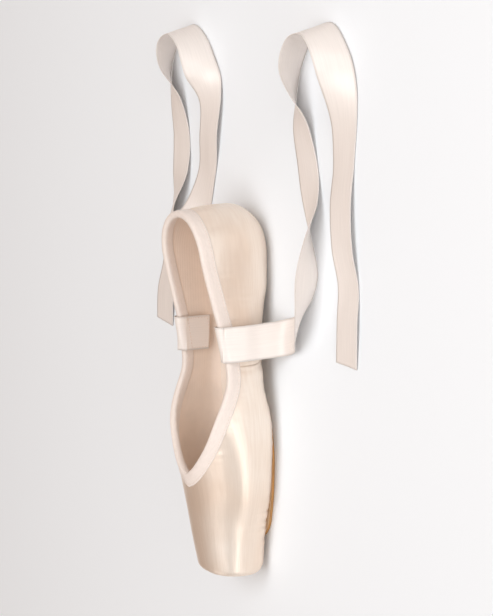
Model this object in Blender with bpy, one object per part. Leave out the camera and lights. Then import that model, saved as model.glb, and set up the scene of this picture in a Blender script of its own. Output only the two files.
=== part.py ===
"""Pointe shoe with two ribbons, for Blender 4.5, in metres with +Z up.

The shoe stands on its sole with its toe towards +X. The origin is on the floor under the middle
of the shoe. All its pieces are worked out from one last, a closed foot form made of cross-sections:
each has a flat base, a lower quarter up to its widest height and an upper quarter up to its crown.
A place on the last is a station, which is where the section stands, and a girth, which runs from
-2 at the middle of the base through -1 at its edge and 0 at the widest height to 1 at the crown.
"""

import math

import bmesh
import bpy
from mathutils import Vector

LENGTH = 0.232
BALL_WIDTH = 0.074
HEEL_WIDTH = 0.056
COLLAR_HEIGHT = 0.053
SIDE_HEIGHT = 0.034
INSTEP_HEIGHT = 0.048
WIDEST_HEIGHT = 0.018
HEEL_REACH = 0.030
ARCH_RISE = 0.0045

PLATFORM_WIDTH = 0.046
PLATFORM_HEIGHT = 0.035
PLATFORM_SIDE_ROUND = 0.004
PLATFORM_TOP_ROUND = 0.004
PLATFORM_UNDER_ROUND = 0.009

THROAT_DISTANCE = 0.064
THROAT_REACH = 0.075
THROAT_POWER = 0.63

QUARTER_WALL = 0.0018
BOX_WALL = 0.0032
PLATFORM_WALL = 0.0055
GAP = 0.0003

OUTSOLE_LENGTH = 0.148
OUTSOLE_WIDTH = 0.054
OUTSOLE_THICKNESS = 0.0020
OUTSOLE_SETBACK = 0.018
OUTSOLE_NOSE_ROUND = 0.017
OUTSOLE_TAIL_ROUND = 0.013
SOLE_LAP = 0.0065

INSOLE_THICKNESS = 0.0018
INSOLE_CLEARANCE = 0.0016
INSOLE_GAP = 0.0009
INSOLE_NOSE_ROUND = 0.022

CASING_WIDTH = 0.0075
CASING_INNER_WIDTH = 0.0060
CASING_THICKNESS = 0.0008
CASING_GAP = 0.00045

SIDE_SEAM_DISTANCE = 0.135
RIBBON_SETBACK = 0.014
RIBBON_WIDTH = 0.022
RIBBON_THICKNESS = 0.0006
RIBBON_SEWN_DEPTH = 0.018
RIBBON_SLACK = 0.0004

# Share of the length from the heel, then shares of half the width, of the instep height and of
# the widest height. Behind the throat the crown is the foot's, which nothing covers.
SECTION_SHARES = (
    # place, half width, crown, widest, base share, lower power, upper power
    (0.13, 0.000, 1.74, 1.10, 0.45, 2.1, 2.2),
    (0.26, 0.020, 1.70, 1.05, 0.48, 2.2, 2.2),
    (0.42, 0.260, 1.62, 0.98, 0.50, 2.3, 2.1),
    (0.54, 0.760, 1.34, 0.97, 0.56, 2.4, 2.0),
    (0.64, 1.000, 1.09, 1.00, 0.62, 2.4, 2.0),
    (0.72, 0.900, 1.00, 1.00, 0.62, 2.4, 2.0),
    (0.77, 0.780, 0.95, 1.00, 0.60, 2.4, 2.0),
    (0.86, 0.360, 0.87, 0.96, 0.56, 2.5, 2.1),
    (0.95, 0.080, 0.785, 0.90, 0.54, 2.6, 2.3),
    (1.00, 0.000, 0.73, 0.86, 0.54, 2.6, 2.4),
)
# Share of the length, then how much of the outsole's level and of the arch the base is raised by.
SOLE_LINE_SHARES = (
    (0.00, 0.0, 0.0),
    (0.19, 0.0, 0.0),
    (0.28, 1.0, 0.25),
    (0.36, 1.0, 0.85),
    (0.42, 1.0, 1.0),
    (0.49, 1.0, 0.75),
    (0.59, 1.0, 0.0),
    (1.00, 1.0, 0.0),
)
# Share of the length, then the topline's height between the side height and the collar height.
TOPLINE_SHARES = (
    (0.00, 1.00),
    (0.06, 0.97),
    (0.13, 0.84),
    (0.26, 0.44),
    (0.36, 0.12),
    (0.45, 0.00),
    (0.54, 0.12),
    (0.63, 0.36),
    (0.72, 0.50),
)
# Share of the outsole's length from its nose, then share of half its width.
OUTSOLE_SHARES = (
    (0.00, 0.78),
    (0.10, 0.86),
    (0.25, 0.98),
    (0.36, 1.00),
    (0.48, 0.92),
    (0.62, 0.66),
    (0.74, 0.49),
    (0.83, 0.47),
    (0.92, 0.54),
    (1.00, 0.54),
)

HEEL_OUTLINE_POWER = 2.05
BACK_CROWN_SHARE = 0.94
WIDEST_SHARE = 0.64
BOX_WALL_START_SHARE = 0.50
BOX_WALL_END_SHARE = 0.85
TOPLINE_BLEND = 6
FAN_STEPS = 8
FLAT_STEPS, LOWER_STEPS, UPPER_STEPS = 2, 5, 7
PLATFORM_RING_SHARES = (0.66, 0.33, 0.0)
HEEL_STEPS, ARCH_STEPS, VAMP_STEPS, BOX_STEPS, ROUND_STEPS = 6, 13, 5, 2, 5
OUTSOLE_STEPS, INSOLE_STEPS, RIBBON_STEPS = 34, 30, 4
END_LEAN_SHARE = 0.28
THROAT_STATIONS = (0.0007, 0.0025, 0.0055)
OPENING_STATIONS = (0.0012, 0.0040)
STATION_SPACING = 0.0013
MERGE = 1e-6
MIRROR_MERGE = 1e-5

BACK, SIDE = math.pi, math.pi / 2
THROAT = LENGTH - THROAT_DISTANCE
BOX_FRONT = LENGTH - PLATFORM_UNDER_ROUND
SOLE_LEVEL = OUTSOLE_THICKNESS + GAP
OUTSOLE_NOSE = LENGTH - OUTSOLE_SETBACK
OUTSOLE_TAIL = OUTSOLE_NOSE - OUTSOLE_LENGTH
OPENING_FRONT = OUTSOLE_NOSE - SOLE_LAP
OPENING_REAR = OUTSOLE_TAIL + SOLE_LAP
RIBBON_PLACE = LENGTH - SIDE_SEAM_DISTANCE - RIBBON_SETBACK

# Each ribbon's free run, from where it leaves the topline: its middle, in metres from the ribbon's
# place on the shoe, the floor and the middle of the shoe, and the way its width points.
RIBBON_LEFT_ROUTE = (
    # back, out, up, width along X, width along Y, width along Z
    (0.0003, 0.0327, 0.0336, 1.0, 0.0, 0.0),
    (0.001, 0.0362, 0.0270, 1.0, 0.0, 0.0),
    (0.002, 0.0385, 0.0150, 1.0, 0.0, 0.0),
    (0.004, 0.0450, 0.0050, 1.0, 0.0, 0.0),
    (0.008, 0.0560, 0.0028, 0.95, 0.15, 0.22),
    (0.016, 0.0680, 0.0060, 0.75, 0.35, 0.55),
    (0.029, 0.0775, 0.0092, 0.35, 0.45, 0.85),
    (0.046, 0.0820, 0.0100, 0.05, 0.4, 1.0),
    (0.064, 0.0800, 0.0075, 0.0, 0.7, 0.75),
    (0.086, 0.0730, 0.0026, 0.0, 1.0, 0.2),
    (0.108, 0.0665, 0.0008, 0.1, 1.0, 0.0),
    (0.132, 0.0620, 0.0030, 0.1, 1.0, 0.1),
    (0.152, 0.0610, 0.0065, 0.0, 0.7, 0.6),
    (0.171, 0.0640, 0.0102, 0.1, 0.3, 1.0),
    (0.187, 0.0760, 0.0108, 0.25, 0.1, 1.0),
    (0.190, 0.0930, 0.0108, 0.3, -0.1, 1.0),
    (0.177, 0.1060, 0.0100, 0.1, -0.4, 1.0),
    (0.158, 0.1100, 0.0062, 0.0, -0.8, 0.6),
    (0.136, 0.1085, 0.0020, 0.0, -1.0, 0.15),
    (0.112, 0.1060, 0.0008, 0.1, -1.0, 0.0),
    (0.088, 0.1065, 0.0032, 0.0, -1.0, 0.0),
    (0.064, 0.1090, 0.0034, 0.0, -1.0, 0.0),
    (0.042, 0.1120, 0.0008, 0.0, -1.0, 0.0),
    (0.020, 0.1125, 0.0020, 0.0, -1.0, 0.0),
    (-0.004, 0.1110, 0.0008, 0.0, -1.0, 0.0),
)
RIBBON_RIGHT_ROUTE = (
    (0.0003, 0.0327, 0.0336, 1.0, 0.0, 0.0),
    (0.001, 0.0362, 0.0270, 1.0, 0.0, 0.0),
    (0.002, 0.0385, 0.0150, 1.0, 0.0, 0.0),
    (0.005, 0.0445, 0.0056, 1.0, 0.05, 0.05),
    (0.011, 0.0550, 0.0040, 0.9, 0.25, 0.3),
    (0.021, 0.0650, 0.0074, 0.6, 0.45, 0.65),
    (0.036, 0.0720, 0.0098, 0.2, 0.45, 1.0),
    (0.054, 0.0730, 0.0090, 0.0, 0.5, 0.95),
    (0.076, 0.0665, 0.0035, 0.0, 1.0, 0.35),
    (0.099, 0.0600, 0.0008, 0.15, 1.0, 0.0),
    (0.122, 0.0535, 0.0036, 0.15, 1.0, 0.0),
    (0.146, 0.0500, 0.0042, 0.05, 1.0, 0.2),
    (0.166, 0.0520, 0.0090, 0.0, 0.5, 0.9),
    (0.182, 0.0610, 0.0106, 0.2, 0.1, 1.0),
    (0.190, 0.0770, 0.0108, 0.3, -0.1, 1.0),
    (0.183, 0.0930, 0.0106, 0.2, -0.3, 1.0),
    (0.166, 0.1010, 0.0080, 0.0, -0.7, 0.8),
    (0.145, 0.1000, 0.0026, 0.0, -1.0, 0.2),
    (0.122, 0.0960, 0.0008, 0.1, -1.0, 0.0),
    (0.098, 0.0945, 0.0022, 0.1, -1.0, 0.05),
    (0.075, 0.0985, 0.0055, 0.0, -0.9, 0.45),
    (0.055, 0.1050, 0.0040, -0.1, -1.0, 0.25),
    (0.037, 0.1110, 0.0008, -0.2, -1.0, 0.0),
    (0.016, 0.1170, 0.0022, -0.2, -1.0, 0.0),
    (-0.007, 0.1210, 0.0008, -0.2, -1.0, 0.0),
)


def smooth(value):
    """An even ramp from 0 to 1."""
    value = min(max(value, 0.0), 1.0)
    return value * value * (3 - 2 * value)


def read_table(rows, place, column):
    """The column's value at a place in the first column, on a smooth curve through the rows."""
    if place <= rows[0][0]:
        return rows[0][column]
    if place >= rows[-1][0]:
        return rows[-1][column]
    k = next(i for i in range(1, len(rows)) if place <= rows[i][0])
    low, high = rows[k - 1], rows[k]
    step = high[0] - low[0]
    along = (place - low[0]) / step
    rise = (high[column] - low[column]) / step

    def slope(before, after):
        """The curve's slope at a row, level where the rows turn."""
        if before < 0 or after >= len(rows):
            return rise
        first = (rows[before + 1][column] - rows[before][column]) / (rows[before + 1][0] - rows[before][0])
        second = (rows[after][column] - rows[after - 1][column]) / (rows[after][0] - rows[after - 1][0])
        return 0.0 if first * second <= 0 else 2 * first * second / (first + second)

    start = slope(k - 2, k)
    end = slope(k - 1, k + 1)
    a, b = along * along * (3 - 2 * along), along * (1 - along)
    return low[column] * (1 - a) + high[column] * a + step * b * ((1 - along) * start - along * end)


def rounded_in(place, radius):
    """How far a rounded front edge of this radius has drawn in at a place."""
    into = max(0.0, place - (LENGTH - radius))
    return radius - math.sqrt(max(0.0, radius * radius - into * into))


def wall(place):
    """The upper's thickness, which grows from the quarters to the box."""
    start, end = BOX_WALL_START_SHARE * LENGTH, BOX_WALL_END_SHARE * LENGTH
    return QUARTER_WALL + (BOX_WALL - QUARTER_WALL) * smooth((place - start) / (end - start))


def half_width(place):
    """Half the last's greatest width: heel, ball and platform, blended by the table."""
    end = HEEL_WIDTH if place < WIDEST_SHARE * LENGTH else PLATFORM_WIDTH
    share = read_table(SECTION_SHARES, place / LENGTH, 1)
    return (end + (BALL_WIDTH - end) * share) / 2


def sole_line(place):
    """The height of the last's base above the floor."""
    share = place / LENGTH
    return SOLE_LEVEL * read_table(SOLE_LINE_SHARES, share, 1) + ARCH_RISE * read_table(SOLE_LINE_SHARES, share, 2)


def crown_height(place):
    """The height of the last's top line, which ends at the platform's own height."""
    tip = PLATFORM_HEIGHT / (SECTION_SHARES[-1][2] * INSTEP_HEIGHT) - 1
    forward = smooth((place - THROAT) / THROAT_DISTANCE)
    return INSTEP_HEIGHT * read_table(SECTION_SHARES, place / LENGTH, 2) * (1 + tip * forward)


class Section:
    """One cross-section of the last, grown by an offset, or shrunk where it is negative."""

    def __init__(self, station, offset=0.0):
        place, self.turn, self.fill = station
        share = place / LENGTH
        self.place = place
        self.reach = half_width(place) + offset
        self.widest = WIDEST_HEIGHT * read_table(SECTION_SHARES, share, 3)
        self.crown = crown_height(place) + offset
        self.bottom = sole_line(place) - offset
        base = read_table(SECTION_SHARES, share, 4)
        self.low_power = read_table(SECTION_SHARES, share, 5)
        self.high_power = read_table(SECTION_SHARES, share, 6)
        if self.turn > SIDE:
            self.turn_heel(offset)
        self.base = base * (self.reach - offset)
        self.round_front()

    def turn_heel(self, offset):
        """The sections behind the heel's middle fan out to its rounded back."""
        across, back = math.sin(self.turn), -math.cos(self.turn)
        power = HEEL_OUTLINE_POWER
        total = (across / (HEEL_WIDTH / 2)) ** power + (back / HEEL_REACH) ** power
        self.reach = total ** (-1 / power) + offset
        self.crown *= 1 - (1 - BACK_CROWN_SHARE) * back**2

    def round_front(self):
        """The platform's edge is rounded, most of all underneath."""
        self.reach -= rounded_in(self.place, PLATFORM_SIDE_ROUND)
        self.base -= rounded_in(self.place, PLATFORM_SIDE_ROUND)
        self.crown -= rounded_in(self.place, PLATFORM_TOP_ROUND)
        self.bottom += rounded_in(self.place, PLATFORM_UNDER_ROUND)

    def point(self, girth):
        """The point of the section at a girth."""
        if girth <= -1:
            out, up = (girth + 2) * self.base, self.bottom
        elif girth <= 0:
            power, angle = 2 / self.low_power, -girth * math.pi / 2
            out = self.base + (self.reach - self.base) * math.cos(angle) ** power
            up = self.widest - (self.widest - self.bottom) * math.sin(angle) ** power
        else:
            power, angle = 2 / self.high_power, girth * math.pi / 2
            out = self.reach * max(0.0, math.cos(angle)) ** power
            up = self.widest + (self.crown - self.widest) * math.sin(angle) ** power
        if girth >= 1 or girth <= -2:
            out = 0.0
        middle = (self.bottom + self.crown) / 2
        out, up = out * self.fill, middle + (up - middle) * self.fill
        return Vector((
            self.place + out * math.cos(self.turn) - LENGTH / 2,
            out * math.sin(self.turn) if self.turn < BACK else 0.0,
            up,
        ))

    def girth_at_height(self, height):
        """The girth at a height above the widest one."""
        share = (height - self.widest) / (self.crown - self.widest)
        return math.asin(min(max(share, 0.0), 1.0) ** (self.high_power / 2)) / (math.pi / 2)

    def girth_at_width(self, share):
        """The girth above the widest height where the section has this share of its width."""
        return math.acos(min(max(share, 0.0), 1.0) ** (self.high_power / 2)) / (math.pi / 2)

    def nearest(self, out, up, offset):
        """The point of the upper quarter on the line from the section's middle, moved off it."""
        tall, power = self.crown - self.widest, self.high_power
        across, high = abs(out) / self.reach, (up - self.widest) / tall
        if high <= 0:
            return self.reach + offset, up
        scale = (across**power + high**power) ** (1 / power)
        away = Vector((
            (across / scale) ** (power - 1) / self.reach,
            (high / scale) ** (power - 1) / tall,
        )).normalized()
        return out / scale + away.x * offset, self.widest + tall * high / scale + away.y * offset


def station_of(point):
    """The station whose section holds a point in space."""
    place = point.x + LENGTH / 2
    if place >= HEEL_REACH:
        return (place, SIDE, 1.0)
    return (HEEL_REACH, math.atan2(abs(point.y), place - HEEL_REACH), 1.0)


def onto_last(point, offset):
    """The point moved in its own section onto the last, and then off it by an offset."""
    station = station_of(point)
    place, turn, _ = station
    if turn > SIDE:
        out = math.hypot(point.y, point.x + LENGTH / 2 - place)
    else:
        out = abs(point.y)
    out, up = Section(station).nearest(out, point.z, offset)
    side = -1 if point.y < 0 else 1
    across = 0.0 if abs(point.y) < MERGE else side * out * math.sin(turn)
    return Vector((place + out * math.cos(turn) - LENGTH / 2, across, up))


def topline_girth(station):
    """The girth at which the upper ends: the crown ahead of the throat, and less behind it."""
    place, turn, _ = station
    if place >= THROAT:
        return 1.0
    section = Section(station)
    back = (turn - SIDE) / (BACK - SIDE)
    share = (place - HEEL_REACH * back) / LENGTH
    height = SIDE_HEIGHT + (COLLAR_HEIGHT - SIDE_HEIGHT) * read_table(TOPLINE_SHARES, share, 1)
    by_height = section.girth_at_height(height)
    opened = (1 - max(0.0, 1 - (THROAT - place) / THROAT_REACH) ** 2) ** THROAT_POWER
    by_width = section.girth_at_width(opened)
    return min(1.0, (by_height**TOPLINE_BLEND + by_width**TOPLINE_BLEND) ** (1 / TOPLINE_BLEND))


def outsole_half(place):
    """Half the outsole's width at a place, with its rounded nose and tail."""
    ahead, behind = OUTSOLE_NOSE - place, place - OUTSOLE_TAIL
    if ahead <= 0 or behind <= 0:
        return 0.0

    def end(distance, radius):
        into = 1 - min(1.0, distance / radius)
        return math.sqrt(1 - into**2)

    body = read_table(OUTSOLE_SHARES, ahead / OUTSOLE_LENGTH, 1) * OUTSOLE_WIDTH / 2
    return body * end(ahead, OUTSOLE_NOSE_ROUND) * end(behind, OUTSOLE_TAIL_ROUND)


def opening_half(place):
    """Half the width of the opening under the upper, which the outsole covers."""
    if not OPENING_REAR < place < OPENING_FRONT:
        return 0.0
    middle = (OPENING_FRONT + OPENING_REAR) / 2
    stretch = OUTSOLE_LENGTH / (OPENING_FRONT - OPENING_REAR)
    matching = (OUTSOLE_NOSE + OUTSOLE_TAIL) / 2 + (place - middle) * stretch
    return outsole_half(matching) * (1 - 2 * SOLE_LAP / OUTSOLE_WIDTH)


def opening_girth(station):
    """The girth at which the upper starts underneath."""
    place, turn, _ = station
    if turn > SIDE:
        return -2.0
    return -2.0 + opening_half(place) / Section(station).base


def between(start, end, steps, lean=0.0):
    """Places from start up to end, drawn towards the end by a lean."""
    places = []
    for k in range(steps):
        share = k / steps
        places.append(start + (end - start) * (share + lean * share * (1 - share)))
    return places


def stations():
    """The upper's stations from the back of the heel to the middle of the platform."""
    fan = [(HEEL_REACH, BACK + (SIDE - BACK) * k / FAN_STEPS, 1.0) for k in range(FAN_STEPS)]
    places = between(HEEL_REACH, OPENING_REAR, HEEL_STEPS)
    places += between(OPENING_REAR, THROAT, ARCH_STEPS, END_LEAN_SHARE)
    places += between(THROAT, OPENING_FRONT, VAMP_STEPS, END_LEAN_SHARE)
    places += between(OPENING_FRONT, BOX_FRONT, BOX_STEPS)
    for k in range(ROUND_STEPS + 1):
        angle = math.pi / 2 * k / ROUND_STEPS
        places.append(BOX_FRONT + PLATFORM_UNDER_ROUND * math.sin(angle))
    places = sharpen(places)
    rings = [(LENGTH, SIDE, fill) for fill in PLATFORM_RING_SHARES]
    return fan + [(place, SIDE, 1.0) for place in places] + rings


def sharpen(places):
    """Adds the close stations where the throat's point and the opening's ends curve fastest."""
    near = [THROAT - step for step in THROAT_STATIONS]
    near += [OPENING_REAR + step for step in OPENING_STATIONS]
    near += [OPENING_FRONT - step for step in OPENING_STATIONS]
    exact = (THROAT, OPENING_REAR)
    kept = [p for p in places if p in exact or all(abs(p - n) > STATION_SPACING for n in near)]
    return sorted(kept + near)


def platform_draw(place):
    """How far the hollow's end is drawn back, to leave the platform its thickness."""
    return smooth((place - OPENING_FRONT) / (LENGTH - OPENING_FRONT)) * PLATFORM_WALL


def girths(station):
    """The girths of the upper's wall at a station, from its start underneath to its end."""
    start, end = opening_girth(station), topline_girth(station)
    flat = [start + (-1 - start) * k / FLAT_STEPS for k in range(FLAT_STEPS)]
    lower = [-1 + k / LOWER_STEPS for k in range(LOWER_STEPS)]
    upper = [end * k / UPPER_STEPS for k in range(UPPER_STEPS + 1)]
    return flat + lower + upper


def upper_rows(station):
    """The outer and inner points of the wall at a station."""
    outer, inner = Section(station), Section(station, -wall(station[0]))
    marks = girths(station)
    back = Vector((platform_draw(station[0]), 0, 0))
    return [outer.point(g) for g in marks], [inner.point(g) - back for g in marks]


def new_object(name, mesh, material):
    """Adds a mesh to the scene under a name, with its material."""
    for face in mesh.polygons:
        face.use_smooth = True
    mesh.set_sharp_from_angle(angle=math.radians(40))
    mesh.materials.append(material)
    thing = bpy.data.objects.new(name, mesh)
    bpy.context.scene.collection.objects.link(thing)
    return thing


def mesh_of(name, quads):
    """A mesh of faces given by their corners, joined where the corners meet."""
    bm = bmesh.new()
    for corners in quads:
        bm.faces.new([bm.verts.new(corner) for corner in corners])
    bmesh.ops.remove_doubles(bm, verts=bm.verts, dist=MERGE)
    bmesh.ops.dissolve_degenerate(bm, edges=bm.edges, dist=MERGE / 10)
    bmesh.ops.triangulate(bm, faces=[f for f in bm.faces if len(f.verts) > 4])
    mesh = bpy.data.meshes.new(name)
    bm.to_mesh(mesh)
    bm.free()
    return mesh


def mirrored(thing):
    """Gives a half its other side across the middle of the shoe."""
    mirror = thing.modifiers.new("other side", "MIRROR")
    mirror.use_axis = (False, True, False)
    mirror.merge_threshold = MIRROR_MERGE
    return thing


def strip(first, second):
    """The quads between two rows of points."""
    return [
        (first[k], first[k + 1], second[k + 1], second[k]) for k in range(len(first) - 1)
    ]


def make_upper(material):
    """The hollow upper: box, vamp, quarters and heel in one wall, open at the top and underneath."""
    quads = []
    rows = [upper_rows(station) for station in stations()]
    for (outer, inner), (next_outer, next_inner) in zip(rows, rows[1:]):
        quads += strip(outer, next_outer)
        quads += strip(next_inner, inner)
        for end, turned in ((0, False), (-1, True)):
            edge = [outer[end], next_outer[end], next_inner[end], inner[end]]
            if max(abs(corner.y) for corner in edge) > MERGE and edge[0] != edge[1]:
                quads.append(edge[::-1] if turned else edge)
    return mirrored(new_object("upper", mesh_of("upper", quads), material))


def plate_places(rear, front, steps):
    """Places along a plate, closer together at its rounded ends."""
    middle, half = (rear + front) / 2, (front - rear) / 2
    return [middle - half * math.cos(math.pi * k / steps) for k in range(steps + 1)]


def make_plate(name, rear, front, half, base, thickness, material, steps):
    """A flat piece that follows the sole line, from its half widths underneath and on top and the
    height of its base."""
    quads, rows = [], []
    for place in plate_places(rear, front, steps):
        x, (under, over), z = place - LENGTH / 2, half(place), base(place)
        rows.append([
            Vector((x, 0, z)),
            Vector((x, under, z)),
            Vector((x, over, z + thickness)),
            Vector((x, 0, z + thickness)),
        ])
    for first, second in zip(rows, rows[1:]):
        quads += strip(first, second)
    return mirrored(new_object(name, mesh_of(name, quads), material))


def make_outsole(material):
    """The leather outsole, from behind the platform to its rounded lobe under the arch."""

    def half(place):
        return outsole_half(place), outsole_half(place)

    def base(place):
        return sole_line(place) - SOLE_LEVEL

    return make_plate("outsole", OUTSOLE_TAIL, OUTSOLE_NOSE, half, base,
                      OUTSOLE_THICKNESS, material, OUTSOLE_STEPS)


def insole_base(place):
    """The height of the insole's underside, on the upper's turned-in wall."""
    return sole_line(place) + wall(place) + INSOLE_GAP


def make_insole(material):
    """The insole, which covers the shoe's inside from the heel to the box."""
    rear = HEEL_REACH - inner_half(Section((HEEL_REACH, BACK, 1.0), -wall(0)), insole_base(0))
    rear += INSOLE_CLEARANCE
    front = LENGTH - PLATFORM_WALL - PLATFORM_UNDER_ROUND

    def end_share(place):
        """How much of the width is left in the rounded ends."""
        if place < HEEL_REACH:
            back = (HEEL_REACH - place) / (HEEL_REACH - rear)
            return max(0.0, 1 - back**HEEL_OUTLINE_POWER) ** (1 / HEEL_OUTLINE_POWER)
        into = max(0.0, 1 - (front - place) / INSOLE_NOSE_ROUND)
        return max(0.0, 1 - into**HEEL_OUTLINE_POWER) ** (1 / HEEL_OUTLINE_POWER)

    def half(place):
        section = Section((max(place, HEEL_REACH), SIDE, 1.0), -wall(place))
        heights = insole_base(place), insole_base(place) + INSOLE_THICKNESS
        return [(inner_half(section, h) - INSOLE_CLEARANCE) * end_share(place) for h in heights]

    return make_plate("insole", rear, front, half, insole_base,
                      INSOLE_THICKNESS, material, INSOLE_STEPS)


def inner_half(section, height):
    """Half the inner width at a height in the section's lower quarter."""
    drop = (section.widest - height) / (section.widest - section.bottom)
    share = (1 - min(1.0, drop) ** section.low_power) ** (1 / section.low_power)
    return section.base + (section.reach - section.base) * share


def topline_path():
    """The topline's points from the back of the heel to the throat, with one more past each end."""
    path = []
    for station in stations():
        if station[0] <= THROAT:
            path.append(Section(station).point(topline_girth(station)))
    flip = Vector((1, -1, 1))
    return [path[1] * flip] + path + [path[-2] * flip]


def below_topline(path, k):
    """The way down the upper's surface from a point of the topline, long enough to keep an edge
    drawn at a set distance even where the topline turns."""
    ways = []
    for first, second in ((path[k - 1], path[k]), (path[k], path[k + 1])):
        along = (second - first).normalized()
        middle = (first + second) / 2
        outward = onto_last(middle, GAP) - onto_last(middle, 0.0)
        ways.append(outward.cross(along).normalized())
    way = (ways[0] + ways[1]).normalized()
    return way / way.dot(ways[1])


def casing_ring(path, k):
    """The casing's cross-section, a U over the topline's edge, at a point of the topline."""
    start, way = path[k], below_topline(path, k)
    if k in (1, len(path) - 2):
        way.y = 0.0
    place = start.x + LENGTH / 2
    near, far = CASING_GAP, CASING_GAP + CASING_THICKNESS
    inside = wall(place)
    marks = (
        (CASING_WIDTH, near),
        (CASING_WIDTH, far),
        (CASING_WIDTH / 2, far),
        (0.0, far),
        (-far, far * 0.6),
        (-far, -inside - far * 0.6),
        (0.0, -inside - far),
        (CASING_INNER_WIDTH / 2, -inside - far),
        (CASING_INNER_WIDTH, -inside - far),
        (CASING_INNER_WIDTH, -inside - near),
        (CASING_INNER_WIDTH / 2, -inside - near),
        (-near, -inside - near),
        (-near, near),
        (CASING_WIDTH / 2, near),
    )
    return [onto_last(start + way * down, offset) for down, offset in marks]


def make_casing(material):
    """The drawstring casing, which binds the whole topline."""
    path = topline_path()
    rings = [casing_ring(path, k) for k in range(1, len(path) - 1)]
    quads = []
    for first, second in zip(rings, rings[1:]):
        quads += strip(first + first[:1], second + second[:1])
    return mirrored(new_object("drawstring_casing", mesh_of("drawstring_casing", quads), material))


def sewn_route(side):
    """A ribbon's points where it is sewn inside the quarter and passes over the topline."""
    edge = topline_point(RIBBON_PLACE)
    half = RIBBON_WIDTH / 2
    wide = topline_point(RIBBON_PLACE + half) - topline_point(RIBBON_PLACE - half)
    clear = CASING_GAP + GAP + CASING_THICKNESS + RIBBON_THICKNESS + RIBBON_SLACK
    inside, outside = -wall(RIBBON_PLACE) - clear, clear
    points = []
    for down in (RIBBON_SEWN_DEPTH, RIBBON_SEWN_DEPTH / 2, CASING_INNER_WIDTH / 2, 0.0):
        points.append(onto_last(edge - Vector((0, 0, down)), inside))
    first = points[-1]
    last = onto_last(edge, outside)
    middle, radius = (first + last) / 2, (last - first).length / 2
    for k in (1, 2, 3):
        angle = math.pi * k / 4
        points.append(middle + Vector((0, -radius * math.cos(angle), radius * math.sin(angle))))
    points.append(last)
    mirror = Vector((1, side, 1))
    return [(p * mirror, wide.normalized() * mirror) for p in points]


def topline_point(place):
    """The topline's point on the left side at a place along the quarters."""
    station = (place, SIDE, 1.0)
    return Section(station).point(topline_girth(station))


def ribbon_route(side, rows):
    """All of a ribbon's points, each with the way its width points."""
    route = sewn_route(side)
    start = RIBBON_PLACE - LENGTH / 2
    for back, out, up, wide_x, wide_y, wide_z in rows:
        route.append((Vector((start - back, side * out, up)), Vector((wide_x, side * wide_y, wide_z))))
    return route


def curve_through(route, steps):
    """A smooth curve through the route, as points with their widths."""
    padded = [route[0]] + route + [route[-1]]
    found = []
    for k in range(1, len(padded) - 2):
        four = padded[k - 1 : k + 3]
        for step in range(steps):
            t = step / steps
            weights = (
                -0.5 * t + t * t - 0.5 * t**3,
                1 - 2.5 * t * t + 1.5 * t**3,
                0.5 * t + 2 * t * t - 1.5 * t**3,
                -0.5 * t * t + 0.5 * t**3,
            )
            point = sum((p * w for (p, _), w in zip(four, weights)), Vector((0, 0, 0)))
            wide = sum((w * v for (_, v), w in zip(four, weights)), Vector((0, 0, 0)))
            found.append((point, wide))
    return found + [route[-1]]


def ribbon_corners(before, here, after, wide):
    """The four corners of a ribbon's cross-section, which never reaches below the floor's gap."""
    along = (after - before).normalized()
    across = (wide - along * wide.dot(along)).normalized()
    half = across * RIBBON_WIDTH / 2
    thick = across.cross(along).normalized() * RIBBON_THICKNESS / 2
    lowest = here.z - abs(half.z) - abs(thick.z)
    middle = here + Vector((0, 0, max(0.0, GAP - lowest)))
    return [middle - half - thick, middle + half - thick, middle + half + thick, middle - half + thick]


def twisted_strip(first, second):
    """The triangles between two rings of four, split the same way above and below, so that both
    faces of a twisted ribbon keep their distance."""
    faces = []
    for k, rising in ((0, True), (1, True), (2, False), (3, True)):
        a, b = first[k], first[(k + 1) % 4]
        c, d = second[(k + 1) % 4], second[k]
        faces += [(a, d, c), (a, c, b)] if rising else [(a, d, b), (d, c, b)]
    return faces


def make_ribbon(name, side, rows, material):
    """A flat ribbon, sewn inside the quarter, over the topline and loose on the floor."""
    curve = curve_through(ribbon_route(side, rows), RIBBON_STEPS)
    middles = [point for point, _ in curve]
    padded = middles[:1] + middles + middles[-1:]
    rings = []
    for k, (point, wide) in enumerate(curve):
        rings.append(ribbon_corners(padded[k], point, padded[k + 2], wide))
    faces = [tuple(rings[0]), tuple(rings[-1][::-1])]
    for first, second in zip(rings, rings[1:]):
        faces += twisted_strip(first, second)
    return new_object(name, mesh_of(name, faces), material)


def material(name, colour, roughness, sheen=0.0):
    """A plain material with one colour."""
    made = bpy.data.materials.new(name)
    made.use_nodes = True
    shader = made.node_tree.nodes["Principled BSDF"]
    shader.inputs["Base Color"].default_value = (*colour, 1.0)
    shader.inputs["Roughness"].default_value = roughness
    shader.inputs["Metallic"].default_value = 0.0
    shader.inputs["Sheen Weight"].default_value = sheen
    made.diffuse_color = (*colour, 1.0)
    return made


def main():
    for thing in list(bpy.data.objects):
        bpy.data.objects.remove(thing)
    satin = material("satin", (0.86, 0.68, 0.56), 0.38, 0.2)
    make_upper(satin)
    make_outsole(material("sole leather", (0.78, 0.58, 0.38), 0.7))
    make_insole(material("canvas", (0.85, 0.78, 0.68), 0.9))
    make_casing(material("casing tape", (0.88, 0.74, 0.66), 0.6, 0.2))
    ribbon = material("ribbon satin", (0.90, 0.76, 0.68), 0.42, 0.2)
    make_ribbon("ribbon_left", 1, RIBBON_LEFT_ROUTE, ribbon)
    make_ribbon("ribbon_right", -1, RIBBON_RIGHT_ROUTE, ribbon)


main()
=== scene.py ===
"""Dresses a pointe shoe: satin cover with its pleats and seams, canvas lining, leather outsole
with its stitches, covered insole, drawstring casing and two loose ribbons, on a pale studio floor.

Every curved piece is worked out from one last. A station is where a cross-section of the last
stands, and a girth runs round the section from -2 at the middle of the base through -1 at the
base's edge and 0 at the widest height to 1 at the crown.
"""

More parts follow.
